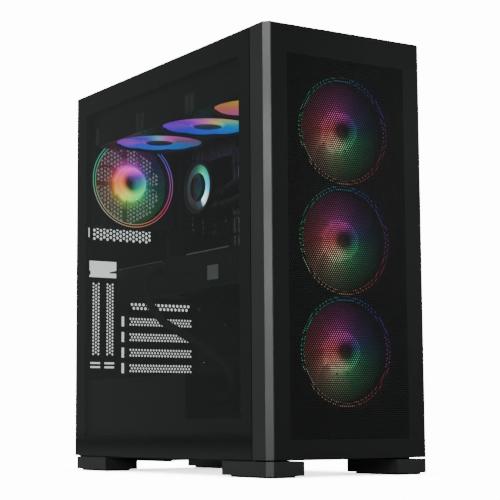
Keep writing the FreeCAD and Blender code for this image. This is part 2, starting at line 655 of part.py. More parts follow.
def tube(name, route, radius):
    """A round hose along straight runs joined by arcs, through a hand-made list of points."""
    points = [Vector(*point) for point in route]
    edges = []
    start = points[0]
    section = math.pi * radius * radius
    radii = []
    for before, corner, after in zip(points, points[1:], points[2:]):
        incoming = (corner - before).normalize()
        outgoing = (after - corner).normalize()
        turn = incoming.getAngle(outgoing)
        reach = 0.45 * min((corner - before).Length, (after - corner).Length)
        bend = reach / math.tan(turn / 2)
        radii.append(bend)
        arc_start = corner - incoming * reach
        arc_end = corner + outgoing * reach
        inward = (outgoing - incoming).normalize()
        middle = corner + inward * (bend / math.cos(turn / 2) - bend)
        edges.append(Part.LineSegment(start, arc_start).toShape())
        edges.append(Part.Arc(arc_start, middle, arc_end).toShape())
        start = arc_end
    edges.append(Part.LineSegment(start, points[-1]).toShape())
    path = Part.Wire(edges)
    heading = (points[1] - points[0]).normalize()
    profile = Part.Wire([Part.makeCircle(radius, points[0], heading)])
    hose = path.makePipeShell([profile], True, False)
    print(f"{name}: length {path.Length:.0f}, tightest bend {min(radii):.0f}, "
          f"volume ratio {hose.Volume / (section * path.Length):.3f}")
    feature = doc.addObject("Part::Feature", name)
    feature.Shape = hose
    return feature


outlet_x = value(OUTLET_X)
outlet_y = value("pump_y - pump_radius - 7")
outlet_z = value("pump_z")
tank_y = value(FITTING_Y)
tank_z = value(f"{RADIATOR_LOW} - 15")
upper_x, lower_x = [value(x) for x in FITTING_X]
upper_route = [(outlet_x, outlet_y, outlet_z - 11), (outlet_x, outlet_y - 12, outlet_z - 11),
               (outlet_x - 9, outlet_y - 28, outlet_z - 11), (outlet_x - 13, outlet_y - 48, outlet_z - 10),
               (outlet_x - 16, outlet_y - 74, outlet_z - 7), (upper_x + 4, outlet_y - 112, outlet_z - 1),
               (upper_x + 1, outlet_y - 158, outlet_z + 4), (upper_x, outlet_y - 204, outlet_z + 9),
               (upper_x, tank_y + 28, outlet_z + 17), (upper_x, tank_y, tank_z - 30), (upper_x, tank_y,
                                                                                       tank_z)]
lower_route = [(outlet_x, outlet_y, outlet_z - 27), (outlet_x, outlet_y - 12, outlet_z - 27),
               (outlet_x - 9, outlet_y - 28, outlet_z - 29), (outlet_x - 14, outlet_y - 48, outlet_z - 31),
               (outlet_x - 21, outlet_y - 76, outlet_z - 31), (outlet_x - 27, outlet_y - 116, outlet_z - 27),
               (lower_x + 9, outlet_y - 162, outlet_z - 20), (lower_x + 3, outlet_y - 206, outlet_z - 9),
               (lower_x, tank_y + 26, outlet_z + 8), (lower_x, tank_y, tank_z - 32), (lower_x, tank_y,
                                                                                      tank_z)]
hoses = [tube("upper_hose", upper_route, size("tube_radius")), tube("lower_hose", lower_route,
                                                                    size("tube_radius"))]
keep(group("hoses", hoses), "coolant_tubes")

# ---------------------------------------------------------------- main board

keep(block("board", (BOARD_LEFT, BOARD_RIGHT), (BOARD_FRONT, BOARD_BACK), (BOARD_LOW, BOARD_HIGH)),
     "motherboard")
SINK = {"rear_sink": ((-34, 0), (-54, -35), (190, 290)), "roof_sink": ((-28, 0), (-150, -40), (282, 303)),
        "low_sink": ((-8, 0), (-230, -160), (38, 92)), "drive_sink": ((-9, 0), (-150, -50), (100, 122))}
sinks = [block(name, tuple(f"{BOARD_LEFT} + {end}" for end in x), tuple(f"{BOARD_BACK} + {end}" for end in y),
               tuple(f"{BOARD_LOW} + {end}" for end in z)) for name, (x, y, z) in SINK.items()]
keep(group("sinks", sinks), "board_heatsinks")
MEMORY_Y = [f"(pump_y - 62 - {number} * 9.5)" for number in range(4)]
MEMORY_Z = (f"{BOARD_HIGH} - 152", f"{BOARD_HIGH} - 12")
sockets = [block(f"memory_socket_{number}", (f"{BOARD_LEFT} - 7", BOARD_LEFT), (f"{y} - 3.2", f"{y} + 3.2"),
                 MEMORY_Z) for number, y in enumerate(MEMORY_Y)]
modules = [block(f"memory_{number}", (f"{BOARD_LEFT} - 34", f"{BOARD_LEFT} - 7"), (f"{y} - 3.4",
                                                                                   f"{y} + 3.4"),
                 (f"{MEMORY_Z[0]} + 3.5", f"{MEMORY_Z[1]} - 3.5")) for number, y in enumerate(MEMORY_Y)]
keep(group("memory", modules), "memory_modules")
CARD_SLOT = slot_z(6)
expansion = [block(f"expansion_{number}", (f"{BOARD_LEFT} - 11", BOARD_LEFT),
                   (f"{BOARD_BACK} - 138", f"{BOARD_BACK} - 48"),
                   (f"{slot_z(number)} - 1.6", f"{slot_z(number)} + 6")) for number in (1, 3, 6)]
keep(group("board_sockets", sockets + expansion), "board_slots")
io_ports = [block("io_body", (f"{BOARD_LEFT} - 40", BOARD_LEFT), (f"{BOARD_BACK} - 32", f"{REAR_OUT} + 0.5"),
                  (f"{IO_Z[0]} + 3", f"{IO_Z[1]} - 3"))]
IO_SOCKETS = [(12 + 17 * number, width) for number, width in enumerate((13, 13, 13, 13, 13, 13, 13, 13))]
port_holes = [block(f"io_port_{number}", (f"{BOARD_LEFT} - 22", f"{BOARD_LEFT} - 6"),
                    (f"{REAR_OUT} - 9", f"{REAR_OUT} + 2"), (f"{IO_Z[0]} + {low}",
                                                             f"{IO_Z[0]} + {low + width}"))
              for number, (low, width) in enumerate(IO_SOCKETS)]
keep(cut("io_block", io_ports[0], port_holes), "rear_ports")
keep(cut("io_plate", block("io_plate_sheet", (f"{IO_X[0]} + 0.1", f"{IO_X[1]} - 0.1"), (REAR_IN,
                                                                                        f"{REAR_OUT} + 0.3"),
                           (f"{IO_Z[0]} + 0.1", f"{IO_Z[1]} - 0.1")),
         [block("io_plate_hole", (f"{BOARD_LEFT} - 40.2", f"{BOARD_LEFT} + 0.2"), (f"{REAR_IN} - 1",
                                                                                   f"{REAR_OUT} + 2"),
                (f"{IO_Z[0]} + 2.8", f"{IO_Z[1]} - 2.8"))]), "io_shield")

# ---------------------------------------------------------------- graphics card

CARD_BACK = f"({REAR_IN} - 1)"
CARD_FRONT = f"({CARD_BACK} - card_length)"
CARD_Z = f"({CARD_SLOT} + 1)"
CARD_RIGHT = f"({BOARD_LEFT} - 11.2)"
CARD_LEFT = f"({CARD_RIGHT} - card_height)"
keep(block("card_board", (CARD_LEFT, CARD_RIGHT), (CARD_FRONT, CARD_BACK), (CARD_Z, f"{CARD_Z} + 1.6")),
     "gpu_board")
keep(block("card_backplate", (CARD_LEFT, f"{CARD_RIGHT} - 8"),
           (CARD_FRONT, f"{CARD_BACK} - card_rear_gap + 4"),
           (f"{CARD_Z} + 1.6", f"{CARD_Z} + 3.6")), "gpu_backplate")
CARD_MIDDLE = f"({CARD_FRONT} + {CARD_BACK} - card_rear_gap + 2) / 2"
CARD_FANS = [f"({CARD_MIDDLE} + {number} * card_fan_pitch)" for number in (1, 0, -1)]
CARD_LOW = f"({CARD_Z} - card_cooler)"
CARD_FAN_X = f"({CARD_LEFT} + 54)"
shell = block("card_shell", (f"{CARD_LEFT} - 3", f"{CARD_LEFT} + 111"), (f"{CARD_FRONT} - 2",
                                                                         f"{CARD_BACK} - card_rear_gap"),
              (CARD_LOW, f"{CARD_Z} - 0.5"))
hollow = block("card_hollow", (f"{CARD_LEFT} - 0.5", f"{CARD_LEFT} + 112"),
               (f"{CARD_FRONT} + 0.5", f"{CARD_BACK} - card_rear_gap + 1"),
               (f"{CARD_LOW} + 2", f"{CARD_Z} + 1"))
fan_holes = [rod(f"card_fan_hole_{number}", CARD_FAN_X, fan_y, f"{CARD_LOW} - 1", "+Z",
                 "card_fan_radius + 1.5", 3)
             for number, fan_y in enumerate(CARD_FANS)]
keep(cut("card_cover", shell, [fuse("card_inside", [hollow] + fan_holes)]), "gpu_shroud")
fins = block("card_fins", (f"{CARD_LEFT} + 0.5", f"{CARD_LEFT} + 108"), (f"{CARD_FRONT} + 4",
                                                                         f"{CARD_BACK} - card_rear_gap - 2"),
             (f"{CARD_LOW} + 17", f"{CARD_Z} - 0.3"))


def bearing(name, x, y, z, length):
    """A sleeve that a rotor's shaft runs in, hanging below a ceiling."""
    sleeve = rod(name + "_sleeve", x, y, z, "-Z", 4, length)
    bore = rod(name + "_bore", x, y, f"{z} + 0.5", "-Z", "shaft_radius + shaft_clearance", f"{length} + 1")
    return sleeve, bore


card_bearings = [bearing(f"card_bearing_{number}", CARD_FAN_X, fan_y, f"{CARD_LOW} + 17", 9)
                 for number, fan_y in enumerate(CARD_FANS)]
sleeves = fuse("card_sleeves", [fins] + [sleeve for sleeve, bore in card_bearings])
keep(cut("card_sink", sleeves, [bore for sleeve, bore in card_bearings]), "gpu_heatsink")
card_rotor = rotor_body("card_rotor", 14, "card_fan_radius", 14, 11)
for number, fan_y in enumerate(CARD_FANS, start=1):
    keep(copy(f"card_spin_{number}", card_rotor, CARD_FAN_X, fan_y, f"{CARD_LOW} + 1.5", "-Z"),
         f"gpu_fan_rotor_{number}")
BRACKET_X = (COVER_MIDDLE_X - 54, COVER_MIDDLE_X + 53)
bracket = block("bracket_sheet", BRACKET_X, (f"{REAR_IN} - 1", REAR_IN), (f"{slot_z(4)} - 9",
                                                                          f"{slot_z(6)} + 9"))
bracket_foot = block("bracket_foot", (COVER_MIDDLE_X - 55, COVER_MIDDLE_X - 54), (f"{REAR_IN} - 8", REAR_IN),
                     (f"{slot_z(4)} - 9", f"{CARD_Z} - 0.6"))
bracket_holes = hexagons("bracket_holes", honeycomb(12.5, 92, 5, 5.7), 3.8, 3)
place(bracket_holes, COVER_MIDDLE_X - 1, f"{REAR_IN} + 1", slot_z(4), "-Y")
bracket_holes.Placement = FreeCAD.Placement(bracket_holes.Placement.Base,
                                            FreeCAD.Rotation(Vector(0, 1, 0), 90).multiply(TURNS["-Y"]))
display_holes = [block(f"display_port_{number}", (COVER_MIDDLE_X - 45 + 21 * number,
                                                  COVER_MIDDLE_X - 29 + 21 * number),
                       (f"{REAR_IN} - 2", f"{REAR_IN} + 1"), (f"{slot_z(6)} - 5.5", f"{slot_z(6)} + 0.5"))
                 for number in range(4)]
keep(fuse("card_bracket", [cut("bracket_cut", bracket, [bracket_holes] + display_holes), bracket_foot]),
     "gpu_bracket")

# ---------------------------------------------------------------- power supply

SUPPLY_Y = (f"{SUPPLY_BACK} - supply_length", SUPPLY_BACK)
WELL_TOP = f"({SUPPLY_LOW} + 28)"
supply = block("supply_can", SUPPLY_X, SUPPLY_Y, SUPPLY_Z)
supply_hollow = block("supply_hollow", (f"{SUPPLY_X[0]} + 1.2", f"{SUPPLY_X[1]} - 1.2"),
                      (f"{SUPPLY_Y[0]} + 1.2", f"{SUPPLY_Y[1]} - 18"), (f"{WELL_TOP} + 2",
                                                                        f"{SUPPLY_Z[1]} - 1.2"))
supply_well = rod("supply_fan_well", 0, SUPPLY_MIDDLE_Y, f"{SUPPLY_LOW} - 1", "+Z", "fan_bore + 2", 29)
sleeve, supply_bore = bearing("supply_bearing", 0, SUPPLY_MIDDLE_Y, WELL_TOP, 16)
INLET_X = ("supply_width / 2 - 43", "supply_width / 2 - 15")
INLET_Z = (f"{SUPPLY_LOW} + 12", f"{SUPPLY_LOW} + 33")
inlet_seat = block("inlet_seat", INLET_X, (f"{SUPPLY_BACK} - 16", f"{SUPPLY_BACK} + 1"), INLET_Z)
ROCKER_X = ("supply_width / 2 - 39", "supply_width / 2 - 19")
ROCKER_Z = (f"{SUPPLY_LOW} + 40", f"{SUPPLY_LOW} + 53")
rocker_seat = block("rocker_seat", (f"{ROCKER_X[0]} - 0.6", f"{ROCKER_X[1]} + 0.6"),
                    (f"{SUPPLY_BACK} - 12", f"{SUPPLY_BACK} + 1"), (f"{ROCKER_Z[0]} - 0.6",
                                                                    f"{ROCKER_Z[1]} + 0.6"))
supply_vent = hexagons("supply_vent", honeycomb(76, 42, 5.2, 6), 5, 20)
place(supply_vent, "-supply_width / 2 + 50", f"{SUPPLY_BACK} + 1", f"{WELL_TOP} + 29", "-Y")
supply_shell = cut("supply_shell", supply, [supply_hollow, supply_well, inlet_seat, rocker_seat, supply_vent])
keep(cut("supply_case", fuse("supply_and_sleeve", [supply_shell, sleeve]), [supply_bore]), "psu_case")
keep(copy("supply_spin", rotor, 0, SUPPLY_MIDDLE_Y, f"{SUPPLY_LOW} + 1.5", "-Z"), "psu_fan_rotor")
inlet = block("inlet_body", (f"{INLET_X[0]} + 0.1", f"{INLET_X[1]} - 0.1"), (f"{SUPPLY_BACK} - 15.5",
                                                                             SUPPLY_BACK),
              (f"{INLET_Z[0]} + 0.1", f"{INLET_Z[1]} - 0.1"))
inlet_socket = block("inlet_socket", (f"{INLET_X[0]} + 2", f"{INLET_X[1]} - 2"), (f"{SUPPLY_BACK} - 13",
                                                                                  f"{SUPPLY_BACK} + 1"),
                     (f"{INLET_Z[0]} + 2.5", f"{INLET_Z[1]} - 2.5"))
INLET_MIDDLE_X = f"(({INLET_X[0]} + {INLET_X[1]}) / 2)"
INLET_MIDDLE_Z = f"(({INLET_Z[0]} + {INLET_Z[1]}) / 2)"
blades = [block(f"inlet_blade_{number}", (f"{INLET_MIDDLE_X} + {across} - 1",
                                          f"{INLET_MIDDLE_X} + {across} + 1"),
                (f"{SUPPLY_BACK} - 13.5", f"{SUPPLY_BACK} - 4"), (f"{INLET_MIDDLE_Z} + {up} - 2",
                                                                  f"{INLET_MIDDLE_Z} + {up} + 2"))
          for number, (across, up) in enumerate(((-7, -2), (0, 2), (7, -2)))]
keep(fuse("inlet", [cut("inlet_open", inlet, [inlet_socket])] + blades), "psu_inlet")

# Rocker switch: a shallow V in side view, so that one half is always pressed in.
ROCKER_Y = f"({SUPPLY_BACK} - 4)"
ROCKER_MIDDLE_Z = f"(({ROCKER_Z[0]} + {ROCKER_Z[1]}) / 2)"
rocker = doc.addObject("PartDesign::Body", "rocker")
rocker_side = sketch_on(rocker, "YZ_Plane", "rocker_side", ROCKER_X[0])
outline(rocker_side, [(f"{ROCKER_Y} - 4", f"{ROCKER_MIDDLE_Z} - 3"), (f"{ROCKER_Y} + 3",
                                                                      f"{ROCKER_Z[0]} + 0.5"),
                      (f"{ROCKER_Y} + 5", f"{ROCKER_MIDDLE_Z}"), (f"{ROCKER_Y} + 6.2",
                                                                  f"{ROCKER_Z[1]} - 0.5"),
                      (f"{ROCKER_Y} - 4", f"{ROCKER_MIDDLE_Z} + 3")])
pad(rocker, rocker_side, f"{ROCKER_X[1]} - ({ROCKER_X[0]})")
PIN_END = 0.5
pin = rod("rocker_pin", f"{ROCKER_X[0]} - {PIN_END}", ROCKER_Y, ROCKER_MIDDLE_Z, "+X", 1.5,
          f"{ROCKER_X[1]} - ({ROCKER_X[0]}) + {2 * PIN_END}")
keep(fuse("rocker_with_pin", [rocker, pin]), "psu_rocker")

# Dust filter of the supply: a flat tray that slides out rearwards along the rails.
FILTER_X = f"({RAIL_X} - steel - 0.5)"
keep(block("supply_filter", (f"-{FILTER_X}", FILTER_X), (f"{REAR_IN} - rear_foot_length * 1.8",
                                                         f"{BACK} - 2"),
           ("foot_height - 3.7", "foot_height - 0.5")), "psu_dust_filter")

# Drive cage: an open steel box under the tray side, with two trays.
CAGE_Y = (f"{LID_FRONT} + 2", f"{SUPPLY_BACK} - supply_length - 25")
cage_outer = block("cage_outer", ("-supply_width / 2 + 40", f"{TRAY_LEFT} - 2"), CAGE_Y, (FLOOR,
                                                                                          f"{FLOOR} + 60"))
cage_inner = block("cage_inner", ("-supply_width / 2 + 41", f"{TRAY_LEFT} - 3"), (f"{CAGE_Y[0]} - 1",
                                                                                  f"{CAGE_Y[1]} + 1"),
                   (f"{FLOOR} + 1", f"{FLOOR} + 59"))
keep(cut("cage", cage_outer, [cage_inner]), "drive_cage")
trays = [block(f"drive_{number}", ("-supply_width / 2 + 42", f"{TRAY_LEFT} - 4"),
               (f"{CAGE_Y[0]} + 1", f"{CAGE_Y[1]} - 1"), (f"{FLOOR} + {low}", f"{FLOOR} + {low + 22}"))
         for number, low in enumerate((4, 33))]
keep(group("drives", trays), "drive_trays")

# ---------------------------------------------------------------- front panel

SKIN_X = f"({RIGHT} - bezel_chamfer - 0.4)"
bezel = doc.addObject("PartDesign::Body", "bezel")
plan = sketch_on(bezel, "XY_Plane", "bezel_plan", PANEL_LOW)
outline(plan, [(LEFT, BEZEL_BACK), (LEFT, f"{FRONT} + bezel_chamfer"), (f"{LEFT} + bezel_chamfer", FRONT),
               (f"-{SKIN_X}", FRONT), (f"-{SKIN_X}", f"{FRONT} + steel"), (SKIN_X, f"{FRONT} + steel"),
               (SKIN_X, FRONT), (f"{RIGHT} - bezel_chamfer", FRONT), (RIGHT, f"{FRONT} + bezel_chamfer"),
               (RIGHT, BEZEL_BACK)])
pad(bezel, plan, f"case_height - ({PANEL_LOW})")
inside = sketch_on(bezel, "XY_Plane", "bezel_inside", f"{PANEL_LOW} + bezel_wall")
WALL_X = f"({RIGHT} - bezel_wall)"
BEND = "bezel_wall * 0.42"
outline(inside, [(f"-{WALL_X}", f"{BEZEL_BACK} + 1"), (f"-{WALL_X}", f"{FRONT} + bezel_chamfer + {BEND}"),
                 (f"-({RIGHT} - bezel_chamfer - {BEND})", f"{FRONT} + bezel_wall + steel"),
                 (f"{RIGHT} - bezel_chamfer - {BEND}", f"{FRONT} + bezel_wall + steel"),
                 (WALL_X, f"{FRONT} + bezel_chamfer + {BEND}"), (WALL_X, f"{BEZEL_BACK} + 1")])
pocket(bezel, inside, f"case_height - ({PANEL_LOW}) - 2 * bezel_wall", reverse=True)
mouth = sketch_on(bezel, "XZ_Plane", "bezel_mouth", f"-({FRONT})")
MOUTH_X = (f"{LEFT} + vent_side_border - 4", f"{RIGHT} - vent_side_border + 4")
MOUTH_Z = (f"{FLOOR} + vent_bottom_border - 4", "case_height - vent_top_border + 4")
outline(mouth, rectangle(MOUTH_X, MOUTH_Z))
pocket(bezel, mouth, "bezel_wall + steel + 2")
pegs = []
for number, (side, snap_z) in enumerate([(side, snap_z) for side in (-1, 1) for snap_z in SNAP_Z]):
    pegs.append(rod(f"bezel_peg_{number}", f"{side} * {SNAP_X}", f"{FRONT} + bezel_wall", snap_z, "+Y",
                    SNAP_RADIUS, "bezel_depth - bezel_wall + panel_gap + 4"))
keep(fuse("front_cover", [bezel] + pegs), "front_bezel")
keep(block("front_skin", (f"-{SKIN_X} + 0.1", f"{SKIN_X} - 0.1"), (FRONT, f"{FRONT} + steel"),
           (PANEL_LOW, "case_height")),
     "front_mesh")

# ---------------------------------------------------------------- side panels

PANEL_Y = (PLATE_FRONT, BACK)
keep(block("glass", (LEFT, GLASS_IN), PANEL_Y, (PANEL_LOW, "case_height")), "glass_panel")
keep(fuse("steel_panel", [block("panel_sheet", (PANEL_IN, RIGHT), PANEL_Y, (PANEL_LOW, "case_height")),
                          block("panel_flange", (f"{RIGHT} - 14", PANEL_IN), (f"{REAR_OUT} + 0.2",
                                                                              f"{REAR_OUT} + 1.2"),
                                (PANEL_LOW, f"{CEILING} + steel"))]), "right_side_panel")
heads = [rod(f"thumbscrew_{number}", f"{RIGHT} - 8.5", f"{REAR_OUT} + 1.2", panel_z, "+Y", 4.5,
             "rear_inset - 1.2")
         for number, panel_z in enumerate((f"{FLOOR} + 60", f"{CEILING} - 60"))]
keep(group("thumbscrews", heads), "panel_thumbscrews")

# ---------------------------------------------------------------- top cover and controls

COVER_X = (f"{GLASS_IN} + 0.5", f"{PANEL_IN} - 0.5")
COVER_Y = (PLATE_FRONT, REAR_OUT)
COVER_Z = (f"{CEILING} + steel", "case_height")
cover_body = block("cover_body", COVER_X, COVER_Y, COVER_Z)
FILTER_SEAT_Y = (f"{PLATE_FRONT} + 34", f"{REAR_OUT} - 10")
FILTER_SEAT_X = (f"{COVER_X[0]} + 8", f"{COVER_X[1]} - 8")
filter_seat = block("filter_seat", FILTER_SEAT_X, FILTER_SEAT_Y, ("case_height - 3", "case_height + 1"))
vent_hole = block("cover_vent", (f"{FILTER_SEAT_X[0]} + 6", f"{FILTER_SEAT_X[1]} - 6"),
                  (f"{FILTER_SEAT_Y[0]} + 6", f"{FILTER_SEAT_Y[1]} - 6"), (f"{COVER_Z[0]} - 1",
                                                                           "case_height - 3"))
controls_y = f"({PLATE_FRONT} + 16)"
BUTTON_X = "(case_width / 2 - 30)"
RESET_X = "(case_width / 2 - 50)"
button_hole = rod("power_button_hole", BUTTON_X, controls_y, f"{COVER_Z[0]} - 1", "+Z",
                  "power_button_radius + button_clearance", "top_cover_height + 2")
reset_hole = rod("reset_button_hole", RESET_X, controls_y, f"{COVER_Z[0]} - 1", "+Z",
                 "reset_button_radius + button_clearance", "top_cover_height + 2")
USB_X = [f"(case_width / 2 - {offset})" for offset in (70, 92, 114)]
usb_holes = [block(f"usb_hole_{number}", (f"{x} - 7.5", f"{x} + 7.5"), (f"{controls_y} - 3.6",
                                                                        f"{controls_y} + 3.6"),
                   ("case_height - 14", "case_height + 1")) for number, x in enumerate(USB_X)]
keep(cut("cover", cover_body, [fuse("cover_inside", [filter_seat, vent_hole]), button_hole,
                               reset_hole] + usb_holes),
     "top_cover")
usb = []
for number, x in enumerate(USB_X):
    port = block(f"usb_can_{number}", (f"{x} - 7.4", f"{x} + 7.4"), (f"{controls_y} - 3.5",
                                                                     f"{controls_y} + 3.5"),
                 ("case_height - 13.9", "case_height - 0.3"))
    mouth_box = block(f"usb_mouth_{number}", (f"{x} - 6.4", f"{x} + 6.4"), (f"{controls_y} - 2.5",
                                                                            f"{controls_y} + 2.5"),
                      ("case_height - 12.5", "case_height + 1"))
    usb.append(cut(f"usb_port_{number}", port, [mouth_box]))
keep(group("usb_ports", usb), "front_usb_ports")
keep(rod("power_key", BUTTON_X, controls_y, f"case_height - 10", "+Z", "power_button_radius", 10),
     "power_button")
keep(rod("reset_key", RESET_X, controls_y, f"case_height - 8", "+Z", "reset_button_radius", 8),
     "reset_button")
keep(block("cover_filter", (f"{FILTER_SEAT_X[0]} + 0.4", f"{FILTER_SEAT_X[1]} - 0.4"),
           (f"{FILTER_SEAT_Y[0]} + 0.4", f"{FILTER_SEAT_Y[1]} - 0.4"), ("case_height - 3",
                                                                        "case_height")), "top_dust_filter")

# ---------------------------------------------------------------- screws and cables

rear_screws = []
for number, (across, up) in enumerate(HOLE_OFFSETS):
    rear_screws.append(rod(f"rear_fan_screw_{number}", f"rear_fan_x + {across} * fan_hole_spacing / 2",
                           REAR_OUT,
                           f"rear_fan_z + {up} * fan_hole_spacing / 2", "+Y", 3.6, 2.2))
for number, (across, up) in enumerate(((-69, 37), (69, 37), (-69, -37), (45, -37))):
    rear_screws.append(rod(f"supply_screw_{number}", across, REAR_OUT,
                           f"{SUPPLY_LOW} + supply_height / 2 + {up}",
                           "+Y", 3.6, 2.2))
slot_screws = [rod(f"slot_screw_{number}", COVER_MIDDLE_X - 55, f"{REAR_IN} - 4.5",
                   f"{slot_z(number)} - 5", "-X", 3, 2.5)
               for number in range(7)]
keep(group("wall_screws", rear_screws + slot_screws), "case_screws")

card_left = value(f"{CARD_LEFT} - 3")
card_z = value(CARD_Z)
plug_y = value(f"({CARD_FRONT} + {CARD_BACK}) / 2 + 16")
supply_y = value(SUPPLY_Y[0])
lid_y = value(LID_FRONT)
supply_z = value(f"{SHROUD_TOP} - 22")
cable_route = [(card_left, plug_y, card_z - 7), (card_left - 8, plug_y, card_z - 7),
               (card_left - 14, plug_y + 6, card_z - 12), (card_left - 16, plug_y + 12, card_z - 25),
               (card_left - 15, plug_y + 12, card_z - 39),
               (card_left - 12, plug_y + 6, card_z - 55), (card_left - 11, plug_y - 24, card_z - 76),
               (card_left - 9, plug_y - 68, card_z - 92), (card_left - 7, plug_y - 108, card_z - 108),
               (card_left - 3, lid_y - 28, supply_z + 34), (card_left + 2, lid_y - 42, supply_z + 16),
               (card_left + 8, lid_y - 34, supply_z), (card_left + 14, lid_y - 10, supply_z - 4),
               (card_left + 18, lid_y + 24, supply_z - 1), (card_left + 20, supply_y - 36, supply_z),
               (card_left + 20, supply_y, supply_z)]
keep(tube("card_cable", cable_route, 5), "gpu_power_cable")
board_x = value(BOARD_LEFT)
board_front = value(BOARD_FRONT)
lead_z = value(BOARD_LOW) + 235
slit_y = value(f"({GROMMET_Y[0]} + {GROMMET_Y[1]}) / 2")
lead_route = [(board_x - 9, board_front + 8, lead_z), (board_x - 13, board_front - 6, lead_z - 1),
              (board_x - 9, board_front - 21, lead_z - 2), (board_x + 4, slit_y, lead_z - 3),
              (board_x + 22, slit_y, lead_z - 3)]
keep(tube("board_lead", lead_route, 4), "board_power_cable")

# ---------------------------------------------------------------- check and write

doc.recompute()
for thing in doc.Objects:
    if "Invalid" in thing.State or "Error" in thing.State:
        raise ValueError(f"{thing.Label} failed: {thing.State}")
for thing in kept:
    if thing.Shape.isNull() or not thing.Shape.isValid() or not thing.Shape.Solids:
        raise ValueError(f"{thing.Label} has no valid shape")
os.makedirs("parts", exist_ok=True)
for thing in kept:
    thing.Shape.exportStep(f"parts/{thing.Label}.step")
whole = Part.makeCompound([thing.Shape for thing in kept]).BoundBox
print(f"{len(kept)} sub-parts, {whole.XLength:.1f} x {whole.YLength:.1f} x {whole.ZLength:.1f}")
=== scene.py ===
import math

import bpy
import numpy as np
from mathutils import Matrix, Vector


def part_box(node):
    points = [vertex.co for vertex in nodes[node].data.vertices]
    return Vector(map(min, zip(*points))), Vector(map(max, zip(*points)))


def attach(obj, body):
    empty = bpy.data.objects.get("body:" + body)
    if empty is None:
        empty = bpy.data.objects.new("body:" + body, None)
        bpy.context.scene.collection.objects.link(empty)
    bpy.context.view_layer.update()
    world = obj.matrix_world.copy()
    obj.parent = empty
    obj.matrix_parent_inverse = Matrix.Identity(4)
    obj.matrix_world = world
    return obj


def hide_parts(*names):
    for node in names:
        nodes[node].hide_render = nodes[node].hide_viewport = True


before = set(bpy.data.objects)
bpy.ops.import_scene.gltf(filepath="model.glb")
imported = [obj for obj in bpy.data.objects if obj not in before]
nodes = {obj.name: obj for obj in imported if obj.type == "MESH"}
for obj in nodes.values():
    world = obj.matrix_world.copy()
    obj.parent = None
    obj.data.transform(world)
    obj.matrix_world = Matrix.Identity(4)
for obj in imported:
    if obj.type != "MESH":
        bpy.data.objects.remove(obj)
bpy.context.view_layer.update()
MM = 0.001

# ---------------------------------------------------------------- viewpoint, floor and light
# The camera stands low, ahead of the tower and to its left, with a long lens.
# The floor and the backdrop are white, and a contact shadow is painted into the floor's glow round
# the feet; soft boxes stand on both sides, behind and overhead, and the room is darker ahead of the tower.

EYE = Vector((-0.94286, -1.50322, 0.05283))
YAW, PITCH, ROLL = math.radians(32.577), math.radians(6.798), math.radians(-0.4)
forward = Vector((math.sin(YAW) * math.cos(PITCH), math.cos(YAW) * math.cos(PITCH), math.sin(PITCH)))
level = Vector((math.cos(YAW), -math.sin(YAW), 0))
upright = level.cross(forward)
right = level * math.cos(ROLL) + upright * math.sin(ROLL)
up = upright * math.cos(ROLL) - level * math.sin(ROLL)
camera_data = bpy.data.cameras.new("camera")
camera_data.lens = 106.83
camera = bpy.data.objects.new("camera", camera_data)
camera.matrix_world = Matrix.Translation(EYE) @ Matrix((right, up, -forward)).transposed().to_4x4()
bpy.context.scene.collection.objects.link(camera)
bpy.context.scene.camera = camera


class Net:
    """A node tree that is written as short calls: each makes a node and gives back its first output."""

    def __init__(self, tree):
        self.tree = tree

    def add(self, kind, settings=None, **inputs):
        """One node; an input is a number, a colour or another node's output, by the socket's name."""
        node = self.tree.nodes.new(kind)
        for key, setting in (settings or {}).items():
            setattr(node, key, setting)
        for key, source in inputs.items():
            socket = node.inputs[int(key[1:])] if key[1:].isdigit() else node.inputs[key.replace("_", " ")]
            if isinstance(source, bpy.types.NodeSocket):
                self.tree.links.new(source, socket)
            else:
                socket.default_value = source
        return node

    def math(self, operation, *values):
        """A Math node's result."""
        inputs = {f"n{index}": value for index, value in enumerate(values)}
        return self.add("ShaderNodeMath", {"operation": operation}, **inputs).outputs[0]

    def ramp(self, fac, stops):
        """A colour ramp with stops of (place, (r, g, b)) or (place, grey)."""
        node = self.add("ShaderNodeValToRGB", Fac=fac)
        while len(node.color_ramp.elements) < len(stops):
            node.color_ramp.elements.new(1.0)
        for element, (place, tone) in zip(node.color_ramp.elements, stops):
            element.position = place
            element.color = (*tone, 1.0) if isinstance(tone, tuple) else (tone, tone, tone, 1.0)
        return node.outputs[0]


def new_material(name):
    """An empty node material, its net and its output node."""
    material = bpy.data.materials.new(name)
    material.use_nodes = True
    material.node_tree.nodes.clear()
    net = Net(material.node_tree)
    output = net.add("ShaderNodeOutputMaterial")
    return material, net, output


BACKDROP_LIGHT = 14.0
BACKDROP_THROUGH_GLASS = 0.14
world = bpy.data.worlds.new("studio")
bpy.context.scene.world = world
world.use_nodes = True
world.node_tree.nodes.clear()
sky = Net(world.node_tree)
light_path = sky.add("ShaderNodeLightPath")
heading = sky.add("ShaderNodeTexCoord").outputs["Generated"]
rearward = sky.add("ShaderNodeSeparateXYZ", Vector=heading).outputs["Y"]
room_light = sky.add("ShaderNodeMapRange", Value=rearward, From_Min=-1.0, From_Max=0.0,
                     To_Min=0.03, To_Max=0.23).outputs[0]
room = sky.add("ShaderNodeBackground", Color=(0.93, 1.0, 0.99, 1.0), Strength=room_light).outputs[0]
veiled = sky.math("GREATER_THAN", light_path.outputs["Transparent Depth"], 0.5)
backdrop_light = sky.add("ShaderNodeMapRange", Value=veiled, To_Min=BACKDROP_LIGHT,
                         To_Max=BACKDROP_LIGHT * BACKDROP_THROUGH_GLASS).outputs[0]
backdrop = sky.add("ShaderNodeBackground", Color=(1.0, 1.0, 1.0, 1.0), Strength=backdrop_light).outputs[0]
around = sky.add("ShaderNodeMixShader", n0=light_path.outputs["Is Camera Ray"], n1=room, n2=backdrop)
